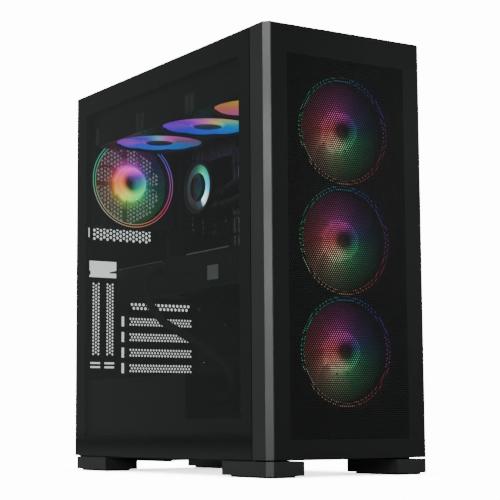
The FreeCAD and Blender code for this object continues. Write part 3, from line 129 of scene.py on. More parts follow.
sky.add("ShaderNodeOutputWorld", Surface=around.outputs[0])

floor_material, net, output = new_material("floor")
# The floor's glow is dimmed by ambient occlusion near the feet: a painted contact shadow.
shade = net.add("ShaderNodeAmbientOcclusion", {"samples": 8}, Distance=0.06).outputs["AO"]
floor_glow_with_painted_contact_shadow = net.math("MULTIPLY", net.math("POWER", shade, 0.5), BACKDROP_LIGHT)
shown = net.add("ShaderNodeEmission", Strength=floor_glow_with_painted_contact_shadow).outputs[0]
dull = net.add("ShaderNodeBsdfDiffuse", Color=(0.5, 0.5, 0.5, 1.0)).outputs[0]
path = net.add("ShaderNodeLightPath").outputs["Is Camera Ray"]
net.tree.links.new(net.add("ShaderNodeMixShader", n0=path, n1=dull, n2=shown).outputs[0], output.inputs[0])
FLOOR_SIZE = 6.0
floor_mesh = bpy.data.meshes.new("floor")
floor_mesh.from_pydata([(x * FLOOR_SIZE, y * FLOOR_SIZE, 0) for x, y in ((-1, -1), (1, -1), (1, 1), (-1, 1))],
                       [], [(0, 1, 2, 3)])
floor_mesh.materials.append(floor_material)
floor = bpy.data.objects.new("floor", floor_mesh)
bpy.context.scene.collection.objects.link(floor)


def soft_box(name, place, target, width, height, power):
    """A square lamp that faces a point."""
    lamp = bpy.data.lights.new(name, "AREA")
    lamp.shape = "RECTANGLE"
    lamp.size = width
    lamp.size_y = height
    lamp.energy = power
    holder = bpy.data.objects.new(name, lamp)
    aim = (Vector(target) - Vector(place)).to_track_quat("-Z", "Y")
    holder.matrix_world = Matrix.Translation(place) @ aim.to_matrix().to_4x4()
    bpy.context.scene.collection.objects.link(holder)


MIDDLE = (0, 0, 0.25)
soft_box("left_box", (-2.3, -1.55, 0.85), MIDDLE, 0.7, 1.3, 34)
soft_box("right_box", (2.2, -2.6, 0.9), MIDDLE, 1.0, 1.4, 4)
soft_box("top_box", (-0.3, -0.2, 2.3), MIDDLE, 1.6, 1.6, 14)
soft_box("rear_box", (0.7, 2.5, 1.1), MIDDLE, 1.4, 1.2, 8)
soft_box("far_side_box", (2.6, 0.6, 1.0), MIDDLE, 1.2, 1.2, 8)


# ---------------------------------------------------------------- steel casing
# Floor pan, roof, front wall, side frame, board tray, supply cover and rear wall are 1 mm steel
# with a black powder coat. The CAD solids have their true shapes and only take the finish.

def coated(name, colour, rough=0.45, grain=900, depth=0.00012, metal=0.0, spread=0.25):
    """A fine-grained finish: noise shifts its colour and roughness a little and raises its surface."""
    material, net, output = new_material(name)
    place = net.add("ShaderNodeTexCoord").outputs["Object"]
    fine = net.add("ShaderNodeTexNoise", Vector=place, Scale=grain, Detail=3.0).outputs[0]
    broad = net.add("ShaderNodeTexNoise", Vector=place, Scale=9.0, Detail=4.0).outputs[0]
    blend = net.math("ADD", net.math("MULTIPLY", fine, 0.5), net.math("MULTIPLY", broad, 0.5))
    dark = tuple(channel * (1 - spread) for channel in colour)
    light = tuple(channel * (1 + spread) for channel in colour)
    tone = net.ramp(blend, [(0.3, dark), (0.7, light)])
    roughness = net.add("ShaderNodeMapRange", Value=broad, From_Min=0.3, From_Max=0.7,
                        To_Min=rough * 0.88, To_Max=rough * 1.12).outputs[0]
    relief = net.add("ShaderNodeBump", Height=fine, Strength=0.6, Distance=depth).outputs[0]
    shader = net.add("ShaderNodeBsdfPrincipled", Base_Color=tone, Roughness=roughness, Metallic=metal,
                     Normal=relief)
    net.tree.links.new(shader.outputs[0], output.inputs[0])
    return material


def dress(material, *names):
    """Gives a finish to CAD nodes."""
    for name in names:
        mesh = nodes[name].data
        mesh.materials.clear()
        mesh.materials.append(material)


inner_steel = coated("inner_steel", (0.022, 0.024, 0.024), rough=0.5)
outer_steel = coated("outer_steel", (0.016, 0.018, 0.018), rough=0.42)
dress(inner_steel, "base_pan", "top_plate", "front_plate", "left_frame", "motherboard_tray", "psu_shroud",
      "drive_cage")
dress(outer_steel, "rear_panel", "slot_covers", "vertical_slot_covers", "gpu_bracket", "right_side_panel")
rubber = coated("rubber", (0.010, 0.010, 0.010), rough=0.75, grain=500)
dress(rubber, "cable_grommets", "foot_pads")


# ---------------------------------------------------------------- feet and front panel
# The bezel is a satin moulded shell with chamfered upright corners; four block feet carry the
# same chamfer. A perforated steel sheet 1 mm thick is bonded to the bezel's face.

moulded = coated("moulded_trim", (0.032, 0.035, 0.034), rough=0.36, grain=1500, depth=0.00006)
dress(moulded, "front_bezel", "feet", "top_cover")

FACING = {"+X": ((0, 1, 0), (0, 0, 1), (1, 0, 0)), "-X": ((0, -1, 0), (0, 0, 1), (-1, 0, 0)),
          "+Y": ((0, 0, 1), (1, 0, 0), (0, 1, 0)), "-Y": ((1, 0, 0), (0, 0, 1), (0, -1, 0)),
          "+Z": ((1, 0, 0), (0, 1, 0), (0, 0, 1)), "-Z": ((0, 1, 0), (1, 0, 0), (0, 0, -1))}


def box_faces():
    """Faces of a box with chamfered edges: point 3 c + a is corner c's point on the face across axis a."""
    quads, triangles = [], []
    for axis in range(3):
        weight, second, third = 4 >> axis, 4 >> (axis + 1) % 3, 4 >> (axis + 2) % 3
        for side in (0, 1):
            start = side * weight
            loop = [start, start + second, start + second + third, start + third]
            quads.append([3 * corner + axis for corner in (loop if side else loop[::-1])])
            for other in (0, 1):
                low = side * second + other * third
                strip = [3 * low + (axis + 1) % 3, 3 * (low + weight) + (axis + 1) % 3,
                         3 * (low + weight) + (axis + 2) % 3, 3 * low + (axis + 2) % 3]
                quads.append(strip[::-1] if side == other else strip)
    for corner in range(8):
        outward = bin(corner).count("1") % 2 == 1
        triangle = [3 * corner, 3 * corner + 1, 3 * corner + 2]
        triangles.append(triangle if outward else triangle[::-1])
    return np.array(quads), np.array(triangles)


BOX_QUADS, BOX_TRIANGLES = box_faces()
BOX_SIGNS = np.array([(x, y, z) for x in (-1, 1) for y in (-1, 1) for z in (-1, 1)])


def spokes(facing, sides):
    """Angles t round a facing, their unit vectors across cos t + along sin t, and the way out."""
    across, along, out = (np.array(axis, float) for axis in FACING[facing])
    angle = np.linspace(0, 2 * math.pi, sides, endpoint=False)
    return angle, np.cos(angle)[:, None] * across + np.sin(angle)[:, None] * along, out


def rows(*parts):
    """Points from coordinates that are arrays or single numbers."""
    return np.stack(np.broadcast_arrays(*parts), 1)


class Shape:
    """Points and faces gathered from several forms and made into one mesh at the end."""

    def __init__(self):
        self.points, self.groups, self.count = [], [], 0

    def add(self, points, faces, finish=0, smooth=False):
        """Points of any array shape, and arrays of face corners that count from this form's own points."""
        points = np.asarray(points, float).reshape(-1, 3)
        for group in faces:
            self.groups.append((np.asarray(group, int) + self.count, finish, smooth))
        self.points.append(points)
        self.count += len(points)
        return self

    def boxes(self, lows, highs, edge=0.3 * MM, finish=0):
        """Boxes with chamfered edges: a corner's point on a face is set in by edge along the other axes."""
        lows, highs = np.atleast_2d(lows).astype(float), np.atleast_2d(highs).astype(float)
        edge = np.minimum(edge, 0.35 * (highs - lows).min(1))[:, None, None, None]
        corner = np.where(BOX_SIGNS > 0, highs[:, None], lows[:, None])[:, :, None]
        points = corner - BOX_SIGNS[:, None] * (1 - np.eye(3)) * edge
        start = 24 * np.arange(len(lows))[:, None, None]
        return self.add(points, [(BOX_QUADS + start).reshape(-1, 4), (BOX_TRIANGLES + start).reshape(-1, 3)],
                        finish)

    def loft(self, points, finish=0, smooth=True, caps=True, wrap=False):
        """Surfaces over closed loops: points[copy, station, around]; the ends are capped or wrap round."""
        points = np.asarray(points, float)
        points = points[None] if points.ndim == 3 else points
        copies, stations, around = points.shape[:3]
        index = np.arange(copies * stations * around).reshape(copies, stations, around)
        after = np.roll(index, -1, 2)
        if wrap:
            here, there, here_next, there_next = index, np.roll(index, -1, 1), after, np.roll(after, -1, 1)
        else:
            here, there, here_next, there_next = index[:, :-1], index[:, 1:], after[:, :-1], after[:, 1:]
        sides = np.stack([here, here_next, there_next, there], -1).reshape(-1, 4)
        self.add(points, [sides], finish, smooth)
        if caps and not wrap:
            ends = np.concatenate([index[:, 0, ::-1], index[:, -1]])
            self.groups.append((ends + self.count - points.size // 3, finish, False))
        return self

    def lathe(self, profile, place, facing, sides=32, **settings):
        """A turned form: (radius, height) pairs swept round the facing axis through the place.

        At angle t the point is place + radius (across cos t + along sin t) + height out.
        """
        angle, spoke, out = spokes(facing, sides)
        radius, height = np.asarray(profile, float).T[:, :, None, None]
        return self.loft(np.asarray(place, float) + radius * spoke + height * out, **settings)

    def make(self, name, body, slot, *finishes, replaces=()):
        """Makes the mesh object, sets it on a body and hides the CAD nodes that it replaces."""
        points = np.concatenate(self.points)
        corners = np.concatenate([group.ravel() for group, finish, smooth in self.groups])
        counts, tones, smooths = (np.concatenate(part) for part in zip(*[
            [np.full(len(group), value) for value in (group.shape[1], finish, smooth)]
            for group, finish, smooth in self.groups]))
        mesh = bpy.data.meshes.new(name)
        mesh.vertices.add(len(points))
        mesh.vertices.foreach_set("co", points.ravel())
        mesh.loops.add(len(corners))
        mesh.loops.foreach_set("vertex_index", corners)
        mesh.polygons.add(len(counts))
        mesh.polygons.foreach_set("loop_start", np.cumsum(counts) - counts)
        mesh.polygons.foreach_set("loop_total", counts)
        mesh.polygons.foreach_set("use_smooth", smooths)
        for finish in finishes:
            mesh.materials.append(finish)
        mesh.polygons.foreach_set("material_index", tones)
        mesh.update(calc_edges=True)
        piece = bpy.data.objects.new(name, mesh)
        bpy.context.scene.collection.objects.link(piece)
        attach(piece, body)
        for node in replaces:
            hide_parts(node)
        return piece


def perforated(low, high, pitch, hole, thick, lay, bands):
    """A thin sheet with holes on a triangular grid, given as a Shape for each band of rows.

    Each hole sits in a six-sided cell: the cell's corners stand pitch / sqrt(3) from its middle and
    the hole's corners hole / 2, at the same six angles. Corners of the outermost cells are drawn out
    to the sheet's straight edges. lay turns arrays across, along and depth into points.
    """
    step = pitch * math.sqrt(3) / 2
    rows, columns = int((high[1] - low[1]) / step), int((high[0] - low[0]) / pitch) - 1
    row, column = (part.ravel() for part in np.meshgrid(np.arange(rows), np.arange(columns), indexing="ij"))
    middle = np.stack([(column + 0.5 * (row % 2)) * pitch, row * step], 1)
    middle += (np.array(low) + high) / 2 - (middle.min(0) + middle.max(0)) / 2
    angle = np.radians(30 + 60 * np.arange(6))
    spokes = np.stack([np.cos(angle), np.sin(angle)], 1)
    outer = (middle[:, None] + spokes * pitch / math.sqrt(3)).reshape(-1, 2)
    inner = (middle[:, None] + spokes * hole / 2).reshape(-1, 2)
    first, number = np.unique(np.round(outer / (pitch * 0.01)).astype(int), axis=0, return_index=True,
                              return_inverse=True)[1:]
    corner = outer[first]
    cells = number.reshape(-1, 6)
    edges = np.stack([cells, np.roll(cells, -1, 1)], 2)
    code = np.sort(edges, 2) @ (len(corner), 1)
    places, times = np.unique(code, return_inverse=True, return_counts=True)[1:]
    open_edge = (times[places.ravel()] == 1).reshape(-1, 6)
    loose = np.zeros(len(corner), bool)
    loose[edges[open_edge]] = True
    for axis, reach in ((0, pitch * 1.05), (1, pitch * 0.8)):
        corner[loose & (corner[:, axis] < low[axis] + reach), axis] = low[axis]
        corner[loose & (corner[:, axis] > high[axis] - reach), axis] = high[axis]
    flat = np.concatenate([corner, inner])
    points = np.concatenate([lay(flat[:, 0], flat[:, 1], np.full(len(flat), depth)) for depth in (0, thick)])
    rims = len(corner) + np.arange(len(inner)).reshape(-1, 6)
    shapes = []
    for band in np.array_split(np.arange(rows), bands):
        chosen = np.isin(row, band)
        cell, rim, edge = cells[chosen], rims[chosen], edges[chosen][open_edge[chosen]]
        cell_next, rim_next, deep = np.roll(cell, -1, 1), np.roll(rim, -1, 1), len(flat)
        face = np.stack([cell, cell_next, rim_next, rim], 2).reshape(-1, 4)
        wall = np.stack([rim, rim_next, rim_next + deep, rim + deep], 2).reshape(-1, 4)
        side = np.stack([edge[:, 1], edge[:, 0], edge[:, 0] + deep, edge[:, 1] + deep], 1)
        quads = np.concatenate([face, face[:, ::-1] + deep, wall, side])
        used, quads = np.unique(quads, return_inverse=True)
        shapes.append(Shape().add(points[used], [quads.reshape(-1, 4)]))
    return shapes


def framed(outer, inner, chamfer, lay, thick):
    """A flat rectangular frame with a chamfered outer edge.

    Rings of four corners, each a rectangle at a depth, run over its face and down its edges.
    """
    grown = (np.array(outer[0]) - chamfer, np.array(outer[1]) + chamfer)
    rings = [(inner, thick), (inner, 0), (outer, 0), (grown, chamfer), (grown, thick)]
    corners = np.array([[(low[0], low[1], depth), (high[0], low[1], depth), (high[0], high[1], depth),
                         (low[0], high[1], depth)] for (low, high), depth in rings]).reshape(-1, 3)
    points = lay(corners[:, 0], corners[:, 1], corners[:, 2])
    return Shape().loft(points.reshape(1, 5, 4, 3)[:, ::-1], smooth=False, wrap=True)


def inset(low, high, margin):
    """The corners of a rectangle, set in by a margin."""
    return tuple(value + margin for value in low), tuple(value - margin for value in high)


mesh_low, mesh_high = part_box("front_mesh")
skin_steel = coated("skin_steel", (0.007, 0.008, 0.008), rough=0.4, grain=1200, depth=0.00006)
VENT_LOW, VENT_HIGH = (-0.080, 0.038), (0.080, 0.450)
VENT_PITCH, VENT_HOLE = 2.6 * MM, 1.75 * MM
SKIN_THICK = mesh_high.y - mesh_low.y
SKIN_EDGE = 0.4 * MM


def on_front(across, along, depth):
    """Points of the front sheet; depth runs inwards from its face."""
    return np.stack([across, mesh_low.y + depth, along], 1)


vents = perforated(VENT_LOW, VENT_HIGH, VENT_PITCH, VENT_HOLE, SKIN_THICK, on_front, 3)
for number, shape in enumerate(vents):
    shape.make(f"front_vent_{number}", "front_cover", "mesh_steel", skin_steel, replaces=["front_mesh"])
SKIN = inset(mesh_low.xz, mesh_high.xz, SKIN_EDGE)
framed(SKIN, (VENT_LOW, VENT_HIGH), SKIN_EDGE, on_front, SKIN_THICK).make(
    "front_skin", "front_cover", "mesh_steel", skin_steel, replaces=["front_mesh"])

# ---------------------------------------------------------------- glass side panel
# Tempered glass 4 mm thick; its front edge is a dark matte face, painted shade in place of the
# reflection there. A black print covers its border from behind, and the clear window inside it is
# lightly smoked.

GLASS_WINDOW = {"Y": (-0.171, 0.1987), "Z": (0.043, 0.4535)}
material, net, output = new_material("side_glass")
spot = net.add("ShaderNodeTexCoord").outputs["Object"]
place = net.add("ShaderNodeSeparateXYZ", Vector=spot)
inside = 1.0
for axis, (start, end) in GLASS_WINDOW.items():
    inside = net.math("MULTIPLY", inside, net.math("GREATER_THAN", place.outputs[axis], start))
    inside = net.math("MULTIPLY", inside, net.math("LESS_THAN", place.outputs[axis], end))
smudge = net.add("ShaderNodeTexNoise", Vector=spot, Scale=6.0).outputs[0]
sheen = net.add("ShaderNodeMapRange", Value=smudge, To_Min=0.03, To_Max=0.09).outputs[0]
border = net.add("ShaderNodeBsdfPrincipled", Base_Color=(0.006, 0.007, 0.007, 1), Roughness=sheen).outputs[0]
clear = net.add("ShaderNodeBsdfTransparent", Color=(0.66, 0.685, 0.68, 1)).outputs[0]
gloss = net.add("ShaderNodeBsdfGlossy", Color=(1, 1, 1, 1), Roughness=sheen).outputs[0]
entering = net.math("SUBTRACT", 1.0, net.add("ShaderNodeNewGeometry").outputs["Backfacing"])
mirror = net.math("MULTIPLY", net.add("ShaderNodeFresnel", IOR=1.45).outputs[0], entering)
window = net.add("ShaderNodeMixShader", n0=mirror, n1=clear, n2=gloss).outputs[0]
panel = net.add("ShaderNodeMixShader", n0=inside, n1=border, n2=window).outputs[0]
glass_low, glass_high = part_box("glass_panel")
# A dark matte front edge: painted shade that hides the reflection on it.
painted_dark_edge = net.math("LESS_THAN", place.outputs["Y"], glass_low.y + 0.3 * MM)
edge = net.add("ShaderNodeBsdfDiffuse", Color=(0.006, 0.006, 0.006, 1)).outputs[0]
net.tree.links.new(net.add("ShaderNodeMixShader", n0=painted_dark_edge, n1=panel, n2=edge).outputs[0], output.inputs[0])
Shape().boxes(tuple(glass_low), tuple(glass_high), 0.2 * MM).make(
    "glass_slab", "glass_door", "side_glass", material, replaces=["glass_panel"])

# ---------------------------------------------------------------- right panel and screws
# The steel side panel keeps its CAD shape. Its two thumbscrews are knurled, and the case screws
# have domed heads with a six-sided socket.

plated = coated("plated_screws", (0.42, 0.42, 0.41), rough=0.3, grain=2500, depth=0.00003, metal=1.0,
                spread=0.1)
black_screw = coated("black_screws", (0.035, 0.035, 0.036), rough=0.35, grain=2500, depth=0.00003, metal=0.6)


def waved(shape, place, spoke, out, stations, wave):
    """Loops round an axis, at (radius, rise, how much of the wave its radius follows)."""
    loops = [np.array(place) + spoke * (radius * wave ** share)[:, None] + out * rise
             for radius, rise, share in stations]
    shape.loft(np.array(loops), smooth=False)


def knurled(shape, place, facing, radius, height, ribs=36):
    """A thumbscrew head: r = radius (1 - 0.035 (1 + cos(ribs t))), chamfered and dished at its end."""
    angle, spoke, out = spokes(facing, ribs * 4)
    stations = [(radius, 0.0, 1), (radius, height * 0.8, 1), (radius * 0.86, height, 0),
                (radius * 0.5, height, 0), (radius * 0.42, height * 0.7, 0)]
    waved(shape, place, spoke, out, stations, 1 - 0.035 * (1 + np.cos(ribs * angle)))


def screw_head(shape, place, facing, radius, height):
    """A domed head; its socket's wall is a hexagon, r = a cos 30 / cos(t mod 60 - 30)."""
    angle, spoke, out = spokes(facing, 24)
    hexagon = math.cos(math.pi / 6) / np.cos(np.mod(angle, math.pi / 3) - math.pi / 6)
    stations = [(radius, 0, 0), (radius, height * 0.35, 0), (radius * 0.88, height * 0.75, 0),
                (radius * 0.66, height, 0), (radius * 0.4, height, 1), (radius * 0.4, height * 0.3, 1)]
    waved(shape, place, spoke, out, stations, hexagon)


thumbs = Shape()
for thumb_z in (0.078, 0.403):
    knurled(thumbs, (0.0965, 0.2222, thumb_z), "+Y", 4.5 * MM, 2.8 * MM)
thumbs.make("thumbscrew_heads", "steel_door", "plated_steel", black_screw, replaces=["panel_thumbscrews"])
wall_screws = Shape()
HOLES = ((-1, -1), (1, -1), (1, 1), (-1, 1))
WALL_BACK = 0.221
FAN_X, REAR_FAN_Z, SUPPLY_Z = -0.038, 0.3714, 63
SLOT_LOW, SLOT_PITCH = 130, 20.32
slot_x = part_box("case_screws")[0].x + 2.5 * MM
for across, rise in HOLES:
    screw_head(wall_screws, (FAN_X + across * 0.0525, WALL_BACK, REAR_FAN_Z + rise * 0.0525), "+Y",
               3.6 * MM, 2.2 * MM)
for across, rise in ((-69, 37), (69, 37), (-69, -37), (45, -37)):
    screw_head(wall_screws, (across * MM, WALL_BACK, (SUPPLY_Z + rise) * MM), "+Y", 3.6 * MM, 2.2 * MM)
for slot in range(7):
    screw_head(wall_screws, (slot_x, 0.214, (SLOT_LOW + SLOT_PITCH * slot) * MM), "-X", 3.0 * MM, 2.5 * MM)
wall_screws.make("screw_heads", "chassis", "screw_black", black_screw, replaces=["case_screws"])

# ---------------------------------------------------------------- roof filter, buttons and front sockets
# The lift-off filter is a thin frame with a perforated steel field. The buttons have chamfered
# rims and dished tops, and each front socket gets its contact tongue.

filter_low, filter_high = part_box("top_dust_filter")
FILTER_RIM, RIM_EDGE = 9 * MM, 0.5 * MM


def on_roof(across, along, depth):
    """Points of the roof filter; depth runs down from its top."""
    return np.stack([across, along, filter_high.z - depth], 1)


FIELD = inset(filter_low.xy, filter_high.xy, FILTER_RIM)
for number, shape in enumerate(perforated(FIELD[0], FIELD[1], 4.6 * MM, 3.7 * MM, 1.2 * MM, on_roof, 2)):
    shape.make(f"roof_vent_{number}", "roof_filter", "dust_mesh", skin_steel, replaces=["top_dust_filter"])
framed(inset(filter_low.xy, filter_high.xy, RIM_EDGE), FIELD, RIM_EDGE, on_roof,
       filter_high.z - filter_low.z).make(
    "roof_filter_rim", "roof_filter", "dust_mesh", moulded, replaces=["top_dust_filter"])

button_finish = coated("button_metal", (0.10, 0.105, 0.105), rough=0.28, grain=2000, depth=0.00002, metal=0.8)
for node, body, r in (("power_button", "power_key", 7.0 * MM), ("reset_button", "reset_key", 3.0 * MM)):
    low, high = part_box(node)
    middle = ((low.x + high.x) / 2, (low.y + high.y) / 2, low.z)
    height = high.z - low.z
    profile = [(r, 0), (r, height - 0.7 * MM), (r - 0.3 * MM, height - 0.2 * MM), (r - 0.8 * MM, height),
               (r - 1.3 * MM, height - 0.1 * MM), (r * 0.45, height - 0.7 * MM),
               (r * 0.1, height - 0.85 * MM)]
    Shape().lathe(profile, middle, "+Z", 48).make(f"{node}_key", body, "black_plastic", button_finish,
                                                  replaces=[node])
contact = coated("contact_plastic", (0.02, 0.045, 0.11), rough=0.4, grain=1500, depth=0.00003)
metal_can = coated("socket_metal", (0.50, 0.50, 0.49), rough=0.25, grain=2500, depth=0.00002, metal=1.0,
                   spread=0.08)
dress(metal_can, "front_usb_ports")
tongues = Shape()
for across in (35, 13, -9):
    tongues.boxes(((across - 5.2) * MM, -0.1768, 0.4676), ((across + 5.2) * MM, -0.1750, 0.4778))
tongues.make("front_socket_tongues", "chassis", "black_plastic", contact)

# ---------------------------------------------------------------- fans
# Each lit fan has a frame and a milky rotor lit from its hub; the front and rear fans have two thin
# light rings round their mouths. The colours run round the fan; the light falls off towards the blade tips.

frame_plastic = coated("fan_frame_plastic", (0.020, 0.021, 0.022), rough=0.45, grain=1200, depth=0.00006)
dress(frame_plastic, "front_fan_frames", "radiator_fan_frames", "rear_fan_frame")


def dial(net, centre, facing):
    """Place round a fan and distance from its axis: 0.5 lies across, 0.75 along; distance in metres."""
    place = net.add("ShaderNodeTexCoord").outputs["Object"]
    offset = net.add("ShaderNodeVectorMath", {"operation": "SUBTRACT"}, n0=place, n1=centre).outputs[0]
    x, y = [net.add("ShaderNodeVectorMath", {"operation": "DOT_PRODUCT"}, n0=offset, n1=axis).outputs["Value"]
            for axis in FACING[facing][:2]]
    flat = net.add("ShaderNodeCombineXYZ", X=x, Y=y).outputs[0]
    turn = net.add("ShaderNodeTexGradient", {"gradient_type": "RADIAL"}, Vector=flat).outputs[1]
    reach = net.add("ShaderNodeVectorMath", {"operation": "LENGTH"}, n0=flat).outputs["Value"]
    return turn, reach


def lit(name, centre, facing, wheel, falloff, strength, clear=0.0, body=(0.05, 0.05, 0.055), ribs=0):
    """A milky plastic lit from inside: a colour wheel times a falloff over 60 mm from the axis.

    Ribs shade the light by 0.7 + 0.3 sin(2 pi ribs turn). Where it's unlit, a share of clear shows
    what is behind.
    """
    material, net, output = new_material(name)
    turn, reach = dial(net, centre, facing)
    hue = net.ramp(turn, wheel)
    level = net.ramp(net.math("DIVIDE", reach, 0.06), falloff)
    power = net.math("MULTIPLY", level, strength)
    if ribs:
        wave = net.math("SINE", net.math("MULTIPLY", turn, 2 * math.pi * ribs))
        power = net.math("MULTIPLY", power, net.math("MULTIPLY_ADD", wave, 0.3, 0.7))
    shader = net.add("ShaderNodeBsdfPrincipled", Base_Color=(*body, 1), Roughness=0.35, Emission_Color=hue,
                     Emission_Strength=power).outputs[0]
    if clear:
        through = net.add("ShaderNodeBsdfTransparent", Color=(0.75, 0.75, 0.78, 1)).outputs[0]
        share = net.math("MULTIPLY", net.math("SUBTRACT", 1.0, level), clear)
        shader = net.add("ShaderNodeMixShader", n0=share, n1=shader, n2=through).outputs[0]
    net.tree.links.new(shader, output.inputs[0])
    return material


def rotor(centre, facing, hub, tip, top, depth, blades, coverage=1.04, slant=0.72, rise=0.0):
    """A fan rotor: a domed hub cup and curved blades, all in the fan's own frame.

    A blade point at share s of the way out and share c of the chord lies at the angle
    sweep s^2 + (c - 1/2) span and the height (1/2 - c) pitch(s) + camber 4 c (1 - c); its skin
    stands off by 0.6 mm sqrt(4 c (1 - c)) on both sides.
    """
    cup = np.array([(hub, -depth), (hub, top - 2.4), (hub - 0.5, top - 1.2), (hub - 1.6, top - 0.4),
                    (hub * 0.62, top), (hub * 0.58, top - 0.5), (hub * 0.5, top - 0.6),
                    (hub * 0.05, top - 0.3)])
    shape = Shape().lathe(cup * MM, centre, facing, 48)
    s = np.linspace(0, 1, 9)[:, None]
    c = np.concatenate([np.linspace(1, 0, 8), np.linspace(0, 1, 8)[1:-1]])[None]
    side = np.concatenate([np.ones(8), -np.ones(6)])[None]
    bow = 4 * c * (1 - c)
    span = 2 * math.pi / blades * coverage
    radius = (hub - 0.4 + (tip - hub + 0.4) * s) * MM
    angle = 0.42 * s ** 2 + (c - 0.5) * span
    pitch = (depth - 6.0) * slant * (1 - 0.3 * s)
    middle = -(depth - top) / 2 - 1.5 + rise
    height = (middle + (0.5 - c) * pitch + 1.2 * bow * s + side * 0.6 * np.sqrt(bow)) * MM
    turns = 2 * math.pi * np.arange(blades)[:, None, None] / blades + angle
    across, along, out = (np.array(axis, float) for axis in FACING[facing])
    flat = np.cos(turns)[..., None] * across + np.sin(turns)[..., None] * along
    return shape.loft(np.array(centre) + radius[..., None] * flat + height[..., None] * out)


def ring(shape, centre, facing, radius, tube, rise):
    """A thin round rod bent into a circle."""
    angle = np.linspace(0, 2 * math.pi, 8, endpoint=False)
    profile = np.stack([radius + tube * np.cos(angle), rise + tube * np.sin(angle)], 1)
    shape.lathe(profile, centre, facing, 96, wrap=True)


BLADE_WHEEL = [(0.0, (1.0, 0.2, 0.04)), (0.08, (1.0, 0.42, 0.05)), (0.16, (0.9, 0.8, 0.1)),
               (0.26, (0.25, 0.95, 0.12)), (0.38, (0.01, 0.9, 0.2)), (0.5, (0.01, 0.45, 0.4)),
               (0.6, (0.15, 0.06, 0.6)), (0.7, (0.8, 0.04, 0.85)), (0.8, (1.0, 0.08, 0.65)),
               (0.9, (1.0, 0.08, 0.22)), (1.0, (1.0, 0.2, 0.04))]
FRONT_WHEEL = [(0.0, (0.8, 0.1, 0.12)), (0.08, (0.9, 0.35, 0.25)), (0.16, (0.85, 0.6, 0.4)),
               (0.23, (0.5, 0.7, 0.35)), (0.32, (0.08, 0.55, 0.2)), (0.45, (0.03, 0.38, 0.2)),
               (0.55, (0.04, 0.12, 0.3)), (0.65, (0.2, 0.03, 0.35)), (0.75, (0.7, 0.06, 0.5)),
               (0.86, (0.75, 0.08, 0.3)), (1.0, (0.8, 0.1, 0.12))]
RING_WHEEL = [(0.0, (0.1, 0.85, 0.35)), (0.1, (0.75, 0.75, 0.45)), (0.2, (0.9, 0.6, 0.35)),
              (0.3, (0.95, 0.3, 0.15)), (0.4, (0.9, 0.05, 0.15)), (0.5, (0.65, 0.1, 0.6)),
              (0.58, (0.25, 0.12, 0.95)), (0.66, (0.05, 0.15, 0.95)), (0.76, (0.05, 0.6, 0.75)),
              (0.88, (0.05, 0.75, 0.5)), (1.0, (0.1, 0.85, 0.35))]
GLOW = [(0.0, 0.02), (0.12, 0.06), (0.2, 0.6), (0.28, 1.0), (0.35, 0.85), (0.42, 0.42), (0.6, 0.2),
        (0.8, 0.09), (0.92, 0.03)]
REAR_GLOW = [(0.0, 0.01), (0.14, 0.03), (0.22, 0.6), (0.3, 1.0), (0.36, 0.8), (0.44, 0.25), (0.6, 0.07),
             (0.9, 0.05)]
ROOF_GLOW = [(0.0, 0.03), (0.2, 0.05), (0.27, 0.1), (0.3, 0.7), (0.335, 0.8), (0.36, 0.6), (0.6, 0.6),
             (0.9, 0.55)]
EVEN = [(0.0, 1.0), (1.0, 1.0)]
CASE_FAN = {"hub": 20.5, "tip": 54, "top": -1.0, "depth": 20.5, "blades": 9}


def light_rings(fan, number, centre, tubes, strength):
    """The outer and the inner light ring round a fan's mouth."""
    halo = lit(f"{fan}_halo{number}", centre, "-Y", RING_WHEEL, EVEN, strength)
    rings = Shape()
    for radius, tube, rise in zip((58.6, 55.4), tubes, (-0.2, -0.4)):
        ring(rings, centre, "-Y", radius * MM, tube * MM, rise * MM)
    rings.make(f"{fan}_rings{number}", "chassis", "fan_frame_plastic", halo)


for number, fan_z in enumerate((0.1324, 0.2524, 0.3724), start=1):
    centre = (0.0, -0.218, fan_z)
    glow = lit(f"front_glow_{number}", centre, "-Y", FRONT_WHEEL, GLOW, 1.9)
    rotor(centre, "-Y", **CASE_FAN, coverage=1.4).make(
        f"front_blades_{number}", f"front_rotor_{number}", "fan_rotor_plastic", glow,
        replaces=[f"front_fan_rotor_{number}"])
    light_rings("front", f"_{number}", centre, (0.6, 0.5), 0.55)

centre = (FAN_X, 0.195, REAR_FAN_Z)
rear_glow = lit("rear_glow", centre, "-Y", BLADE_WHEEL, REAR_GLOW, 2.8, clear=0.55, body=(0.14, 0.14, 0.15))
rotor(centre, "-Y", **CASE_FAN, coverage=1.12, slant=0.4).make(
    "rear_blades", "rear_rotor", "fan_rotor_plastic", rear_glow, replaces=["rear_fan_rotor"])
light_rings("rear", "", centre, (0.7, 0.6), 1.1)

